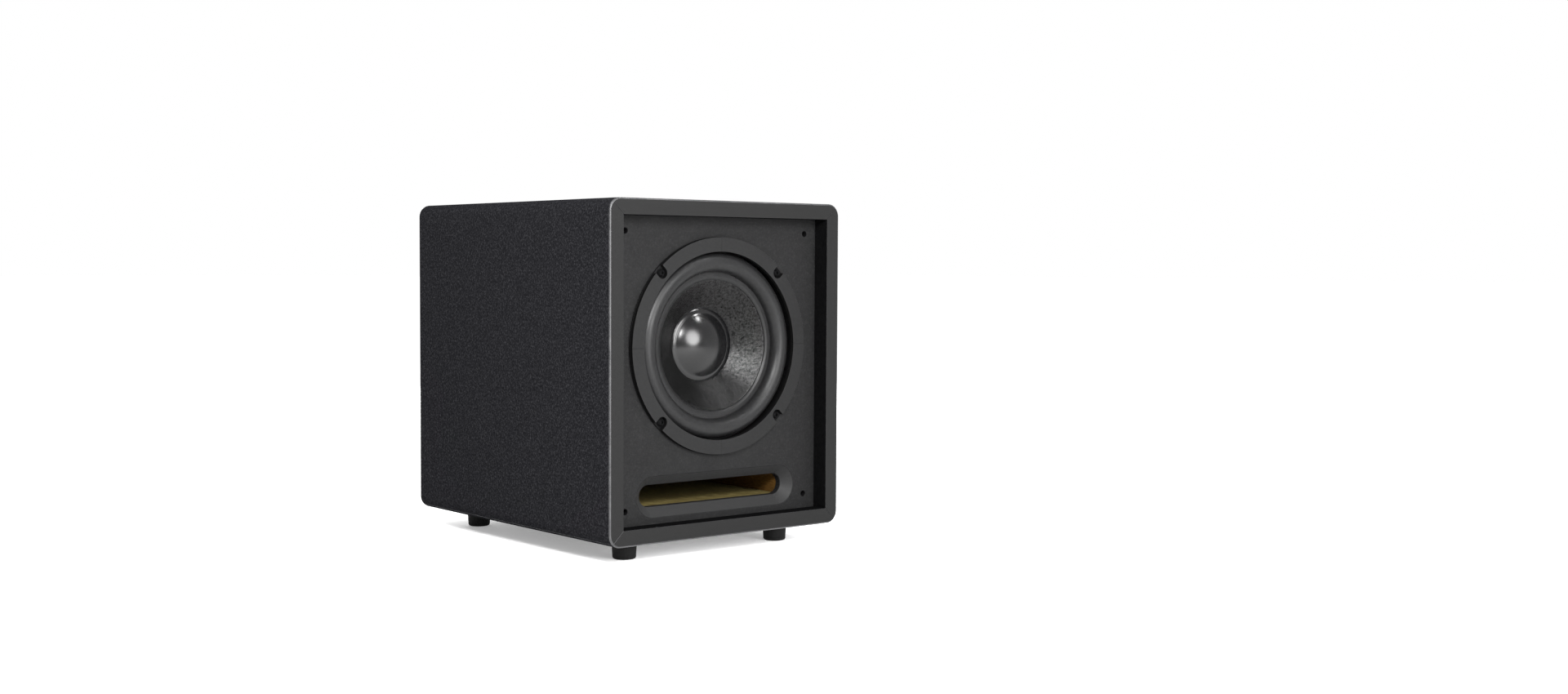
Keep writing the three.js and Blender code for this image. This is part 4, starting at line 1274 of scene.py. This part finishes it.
# ---- Input jacks --------------------------------------------------------------------------------
# Two phono jacks with a coloured moulded collar, white for left and red for right. Each has a plated
# shell round the collar and a dark bore.

for name, colour, shade in (
    ("white", (0.74, 0.74, 0.72), (0.60, 0.60, 0.58)),
    ("red", (0.55, 0.020, 0.016), (0.42, 0.012, 0.010)),
):
    collar = finish("jack_" + name, colour, 0.35)
    one_noise(collar, 300, shade, colour, (0.28, 0.42), Detail=2)
    place = jack_places[name]
    low, high = extent("input_jack_" + name)
    jack_profile = [
        (0, low.y), (6.9, low.y), (6.9, plate_back - 0.3), (4.2, plate_back - 0.3), (4.2, high.y - 0.3),
        (3.9, high.y), (2.1, high.y), (1.6, high.y - 0.5), (1.5, plate_back - 6.3), (0, plate_back - 6.3),
    ]
    bm = turned(jack_profile, place.x, place.z, 48)
    settle(bm, "input_jack_%s_collar" % name, collar, stands_for=["input_jack_" + name])
    shell_profile = [(4.25, plate_face), (4.75, plate_face), (4.75, high.y - 0.9)]
    shell_profile += [(4.5, high.y - 0.5), (4.25, high.y - 0.5)]
    bm = turned(shell_profile, place.x, place.z, 48)
    settle(bm, "input_jack_%s_shell" % name, bright_metal)
    bm = turned(tube(0, 1.45, plate_back - 6.2, high.y - 1.3), place.x, place.z, 24)
    settle(bm, "input_jack_%s_bore" % name, black_plastic)

# ---- Power switch -------------------------------------------------------------------------------
# A black housing snapped into the plate, with a rocker that tips about an upright pin. The rocker is
# marked with a line for on and a ring for off.

bezel_width, bezel_height = switch_high.x - switch_low.x, switch_high.z - switch_low.z
pocket_outline = rounded(switch_middle.x, switch_middle.z, bezel_width - 3.6, bezel_height - 4.4, 0.5, 16)
bezel_outline = rounded(switch_middle.x, switch_middle.z, bezel_width, bezel_height, 1, 32)
housing_outline = rounded(switch_middle.x, switch_middle.z, bezel_width - 2, bezel_height - 2.4, 0.8, 32)
bm = hollowed(
    [
        (bezel_outline, switch_high.y), (bezel_outline, plate_face), (housing_outline, plate_face),
        (housing_outline, switch_low.y),
    ],
    [(pocket_outline, switch_high.y), (pocket_outline, plate_back - 8)],
)
soften(bm, [edge for edge in sharp_edges(bm) if at_y(edge, switch_high.y)], 0.4, 2)
settle(bm, "switch_bezel", black_plastic, stands_for=["switch_housing"], weighted=True)

rocker_tilt, rocker_half_height, valley_y, lobe_x, lobe_rise = 10, 5.1, 2.2, 7.6, 1.4
pivot = Vector((switch_middle.x, plate_face - 1.5, switch_middle.z))
tipped = Matrix.Translation(pivot) @ Matrix.Rotation(math.radians(-rocker_tilt), 4, "Z")
bm = bmesh.new()
lobe_y = valley_y + lobe_rise
outline = [(-5.5, -4.5), (5.5, -4.5), (lobe_x, lobe_y), (0, valley_y), (-lobe_x, lobe_y)]
verts = [bm.verts.new((x, y, -rocker_half_height)) for x, y in outline]
raised = bmesh.ops.extrude_face_region(bm, geom=[bm.faces.new(verts)], use_keep_orig=True)["geom"]
bmesh.ops.translate(bm, vec=(0, 0, rocker_half_height * 2), verts=verts_in(raised))
bmesh.ops.recalc_face_normals(bm, faces=bm.faces)
soften(bm, sharp_edges(bm, math.radians(15)), 0.45, 3)
bmesh.ops.transform(bm, matrix=tipped, verts=bm.verts)
settle(bm, "switch_rocker_cap", black_plastic, "rocker", ["switch_rocker"], weighted=True)

slope, mark_x = math.atan2(lobe_rise, lobe_x), 4.2
for name, side in (("on", -1), ("off", 1)):
    if name == "on":
        bm = bmesh.new()
        block(bm, (-0.3, 0, -1.5), (0.3, 0.1, 1.5))
    else:
        bm = turned(tube(1.1, 1.6, 0, 0.1), steps=32)
    seat = Matrix.Translation((side * mark_x, valley_y + mark_x * lobe_rise / lobe_x - 0.02, 0))
    lean = Matrix.Rotation(side * slope, 4, "Z")
    bmesh.ops.transform(bm, matrix=tipped @ seat @ lean, verts=bm.verts)
    settle(bm, "switch_%s_mark" % name, white_ink, "rocker")

# ---- Mains inlet --------------------------------------------------------------------------------
# A black moulded three-pin inlet whose ears are screwed to the plate. It holds three plated blades
# in a deep socket, and below them a drawer for the fuse.

inlet_face, ear_face = inlet_high.y, plate_face + 1.8
half_width, half_height, ear = inlet_width / 2, inlet_height / 2, 23
socket_z, socket_half_width, socket_half_height, socket_corner = inlet_middle.z + 4.9, 12.1, 8.3, 4.2
drawer_low, drawer_high = extent("fuse_drawer")
drawer_middle = (drawer_low + drawer_high) / 2


def inlet_points(points):
    return straight([(inlet_middle.x + x, inlet_middle.z + z) for x, z in points])


hexagon = inlet_points([
    (-half_width, -half_height), (half_width, -half_height), (ear, -3), (ear, 3), (half_width, half_height),
    (-half_width, half_height), (-ear, 3), (-ear, -3),
])
block_outline = inlet_points(corners_of(0, 0, inlet_width, inlet_height))
neck_outline = inlet_points(corners_of(0, 0, inlet_width - 2, inlet_height - 3))
low, high = -socket_half_height, socket_half_height
wide, narrow = socket_half_width, socket_half_width - socket_corner
socket_outline = inlet_points([
    (x, z + 4.9)
    for x, z in (
        (-wide, low), (wide, low), (wide, high - socket_corner), (narrow, high), (-narrow, high),
        (-wide, high - socket_corner),
    )
])
slide_outline = straight(corners_of(drawer_middle.x, drawer_middle.z, 22.8, 8.8))
socket_floor = plate_face - 12.5
bm = hollowed(
    [
        (block_outline, inlet_face), (block_outline, ear_face), (hexagon, ear_face), (hexagon, plate_face),
        (neck_outline, plate_face), (neck_outline, inlet_low.y),
    ],
    [(socket_outline, inlet_face), (socket_outline, socket_floor)],
    [(slide_outline, inlet_face), (slide_outline, drawer_low.y - 0.5)],
)
inlet_edges = [
    edge
    for edge in sharp_edges(bm)
    if at_y(edge, inlet_face)
    or (at_y(edge, ear_face) and abs(edge.verts[0].co.x - inlet_middle.x) > half_width + 0.1)
]
soften(bm, inlet_edges, 0.5, 3)
settle(bm, "mains_inlet_shell", black_plastic, stands_for=["mains_inlet"], weighted=True)

for number, (dx, dz) in enumerate(((-7, -2.2), (7, -2.2), (0, 2.6)), 1):
    x, z = inlet_middle.x + dx, socket_z + dz
    bm = eased_block((x - 1.02, socket_floor - 0.5, z - 2.02), (x + 1.02, inlet_face - 4.5, z + 2.02), 0.35)
    settle(bm, "inlet_blade_%d" % number, bright_metal, weighted=True)

for number, side in enumerate((-1, 1), 1):
    bm = pan_screw(inlet_middle.x + side * 18.5, inlet_middle.z, ear_face - 0.05, 1.1, 2.5, turn=number * 50)
    settle(bm, "inlet_screw_%d" % number, black_steel)

# ---- Fuse drawer --------------------------------------------------------------------------------
# A black moulded tray that slides out of the inlet, with a glass fuse lying in its bed. Its face has
# a shallow finger catch.

bm = bmesh.new()
block(bm, drawer_low, drawer_high)
bm.faces.ensure_lookup_table()
lid = max(bm.faces, key=lambda face: face.calc_center_median().z)
bmesh.ops.inset_region(bm, faces=[lid], thickness=1.2, use_even_offset=True)
bmesh.ops.translate(bm, vec=(0, 0, 1 - (drawer_high.z - drawer_low.z)), verts=lid.verts)
face = max(bm.faces, key=lambda face: face.calc_center_median().y)
bmesh.ops.inset_region(bm, faces=[face], thickness=1.3, use_even_offset=True)
bmesh.ops.translate(bm, vec=(0, -0.6, 0), verts=face.verts)
soften(bm, sharp_edges(bm), 0.22, 2)
settle(bm, "fuse_tray", black_plastic, "fuse_drawer", ["fuse_drawer"], weighted=True)

fuse_glass = finish("fuse_glass", (0.75, 0.80, 0.80), 0.08, gloss=0.6)
one_noise(
    fuse_glass, 200, (0.62, 0.67, 0.68), (0.80, 0.84, 0.84), (0.05, 0.14), stretch=(0.2, 1, 1), Detail=2
)
set_inputs(shader_of(fuse_glass), Transmission_Weight=0.7)

fuse_low, fuse_high = extent("fuse")
fuse_middle, fuse_half = (fuse_low + fuse_high) / 2, (fuse_high.x - fuse_low.x) / 2


def lying_along_x(bm):
    """Lays a piece spun about Y along X, at the fuse."""
    turn_by(bm, Matrix.Rotation(math.radians(-90), 3, "Z"))
    shift(bm, *fuse_middle)


bm = turned(tube(1.9, 2.3, 1 - fuse_half, fuse_half - 1), steps=32)
lying_along_x(bm)
settle(bm, "fuse_glass_tube", fuse_glass, "fuse_drawer", ["fuse"])
for name, side in (("left", -1), ("right", 1)):
    ends = [(0, 4.9), (2.2, 4.9), (2.48, 5.2), (2.48, fuse_half - 0.3), (2.2, fuse_half), (0, fuse_half)]
    bm = turned([(radius, y * side) for radius, y in ends], steps=32)
    lying_along_x(bm)
    settle(bm, "fuse_cap_" + name, bright_metal, "fuse_drawer")

# ---- Circuit boards -----------------------------------------------------------------------------
# Two boards of green glass laminate stand behind the plate. The larger one carries the supply and the
# output stage on brass pillars, and the smaller one carries the controls.

laminate = finish("circuit_board", (0.015, 0.075, 0.035), 0.35, gloss=0.45)
tracks = pattern(laminate, 160, kind="Brick", Mortar_Size=0.03, Brick_Width=0.9, Row_Height=0.3)
colour_by(laminate, tracks, (0.1, (0.008, 0.040, 0.018)), (0.6, (0.020, 0.095, 0.045)))
roughen_by(laminate, tracks, 0.45, 0.28)
raise_by(laminate, tracks, 0.05)
brass = finish("brass", (0.60, 0.42, 0.14), 0.3, metal=1.0)
brass_marks = pattern(brass, 300, Detail=3)
roughen_by(brass, brass_marks, 0.24, 0.42)
raise_by(brass, brass_marks, 0.03)
film_amber = finish("film_capacitor_amber", (0.42, 0.20, 0.03), 0.35)
one_noise(film_amber, 200, (0.34, 0.15, 0.02), (0.48, 0.25, 0.045), (0.28, 0.44), 0.05, Detail=3)

board_parts = (
    ("relay", black_plastic, -66, 215, 18, 14, 15),
    ("rectifier", black_plastic, -38, 216, 20, 5, 17),
    ("film_capacitor_1", film_amber, -8, 213, 18, 7, 12),
    ("film_capacitor_2", film_amber, 6, 190, 7, 14, 10),
    ("output_chip", black_plastic, -34, 184, 22, 16, 3),
    ("lead_header", black_plastic, -66, 176, 8, 12, 7),
)
board_thick, pillar_radius, pillar_end = 1.6, 3.2, 154.2
for node, role in (("power_board", "output"), ("preamp_board", "control")):
    low, high = extent(node)
    bm = bmesh.new()
    block(bm, low, (high.x, low.y + board_thick, high.z))
    soften(bm, along_y(bm), 1.5, 4)
    settle(bm, role + "_board_laminate", laminate, stands_for=[node])
board_front = extent("power_board")[0].y
for name, material, x, z, width, height, depth in board_parts:
    low = (x - width / 2, board_front - depth, z - height / 2)
    bm = eased_block(low, (x + width / 2, board_front, z + height / 2), 0.5, 3)
    settle(bm, "board_" + name, material)
for number, (x, z) in enumerate(pillar_places, 1):
    bm = turned(tube(0, pillar_radius, board_front + board_thick, pillar_end), x, z, 6, False)
    settle(bm, "board_pillar_%d" % number, brass)

# ---- Reservoir capacitors -----------------------------------------------------------------------
# Two aluminium cans in dark blue shrunk sleeves stand on the power board, 22 mm wide. The sleeve
# laps over the end, round a bare disc that is scored to vent.

sleeve = finish("capacitor_sleeve", (0.010, 0.016, 0.06), 0.3)
one_noise(sleeve, 120, (0.008, 0.012, 0.045), (0.013, 0.022, 0.075), (0.24, 0.38), 0.06, Detail=3)
for number in (1, 2):
    node = "reservoir_capacitor_%d" % number
    low, high = extent(node)
    middle = middle_of(node)
    radius = (high.x - low.x) / 2
    rim = low.y + 0.1
    back = [(radius, 0), (0.3, 0), (0, -0.4), (0, -4), (0.9, -5), (0, -6)]
    lap = [(0, 1.2), (0.8, 0), (3, 0.2), (3, 0.7)]
    sleeve_line = [(radius - inward, high.y + y) for inward, y in back]
    sleeve_line += [(radius - inward, rim + y) for inward, y in lap]
    bm = turned(sleeve_line, middle.x, middle.z, 40, False)
    settle(bm, node + "_sleeve", sleeve, stands_for=[node])
    bm = turned(tube(radius - 3.1, 0, rim + 0.6, rim + 1.1), middle.x, middle.z, 40)
    settle(bm, node + "_vent_disc", plated_steel)

# ---- Transformer --------------------------------------------------------------------------------
# A stack of varnished iron sheets carries the winding on its middle limb, wrapped in amber tape. A
# folded strap of plated steel holds it to the plate.

iron_sheets = finish("core_iron", (0.06, 0.055, 0.05), 0.4, metal=0.7)
sheet_edges = pattern(iron_sheets, 320, kind="Wave", Distortion=0.6, Detail=2)
sheet_edges.node.bands_direction = "Z"
colour_by(iron_sheets, sheet_edges, (0.2, (0.030, 0.027, 0.024)), (0.8, (0.085, 0.078, 0.070)))
roughen_by(iron_sheets, sheet_edges, 0.34, 0.55)
raise_by(iron_sheets, sheet_edges, 0.12)
winding_tape = finish("winding_tape", (0.55, 0.36, 0.06), 0.3)
tape_laps = pattern(winding_tape, 28, kind="Wave", Distortion=0.8, Detail=2)
tape_laps.node.bands_direction = "Y"
colour_by(winding_tape, tape_laps, (0.2, (0.42, 0.25, 0.035)), (0.8, (0.60, 0.40, 0.08)))
roughen_by(winding_tape, tape_laps, 0.25, 0.42)
raise_by(winding_tape, tape_laps, 0.08)
lead_jacket = finish("lead_jacket", (0.30, 0.012, 0.010), 0.38)
one_noise(lead_jacket, 160, (0.24, 0.008, 0.007), (0.34, 0.018, 0.014), (0.32, 0.46), 0.04, Detail=3)
for node, material in (
    ("transformer_core", iron_sheets),
    ("transformer_winding", winding_tape),
    ("transformer_bracket", plated_steel),
    ("speaker_lead", lead_jacket),
):
    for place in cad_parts[node].material_slots:
        place.material = material
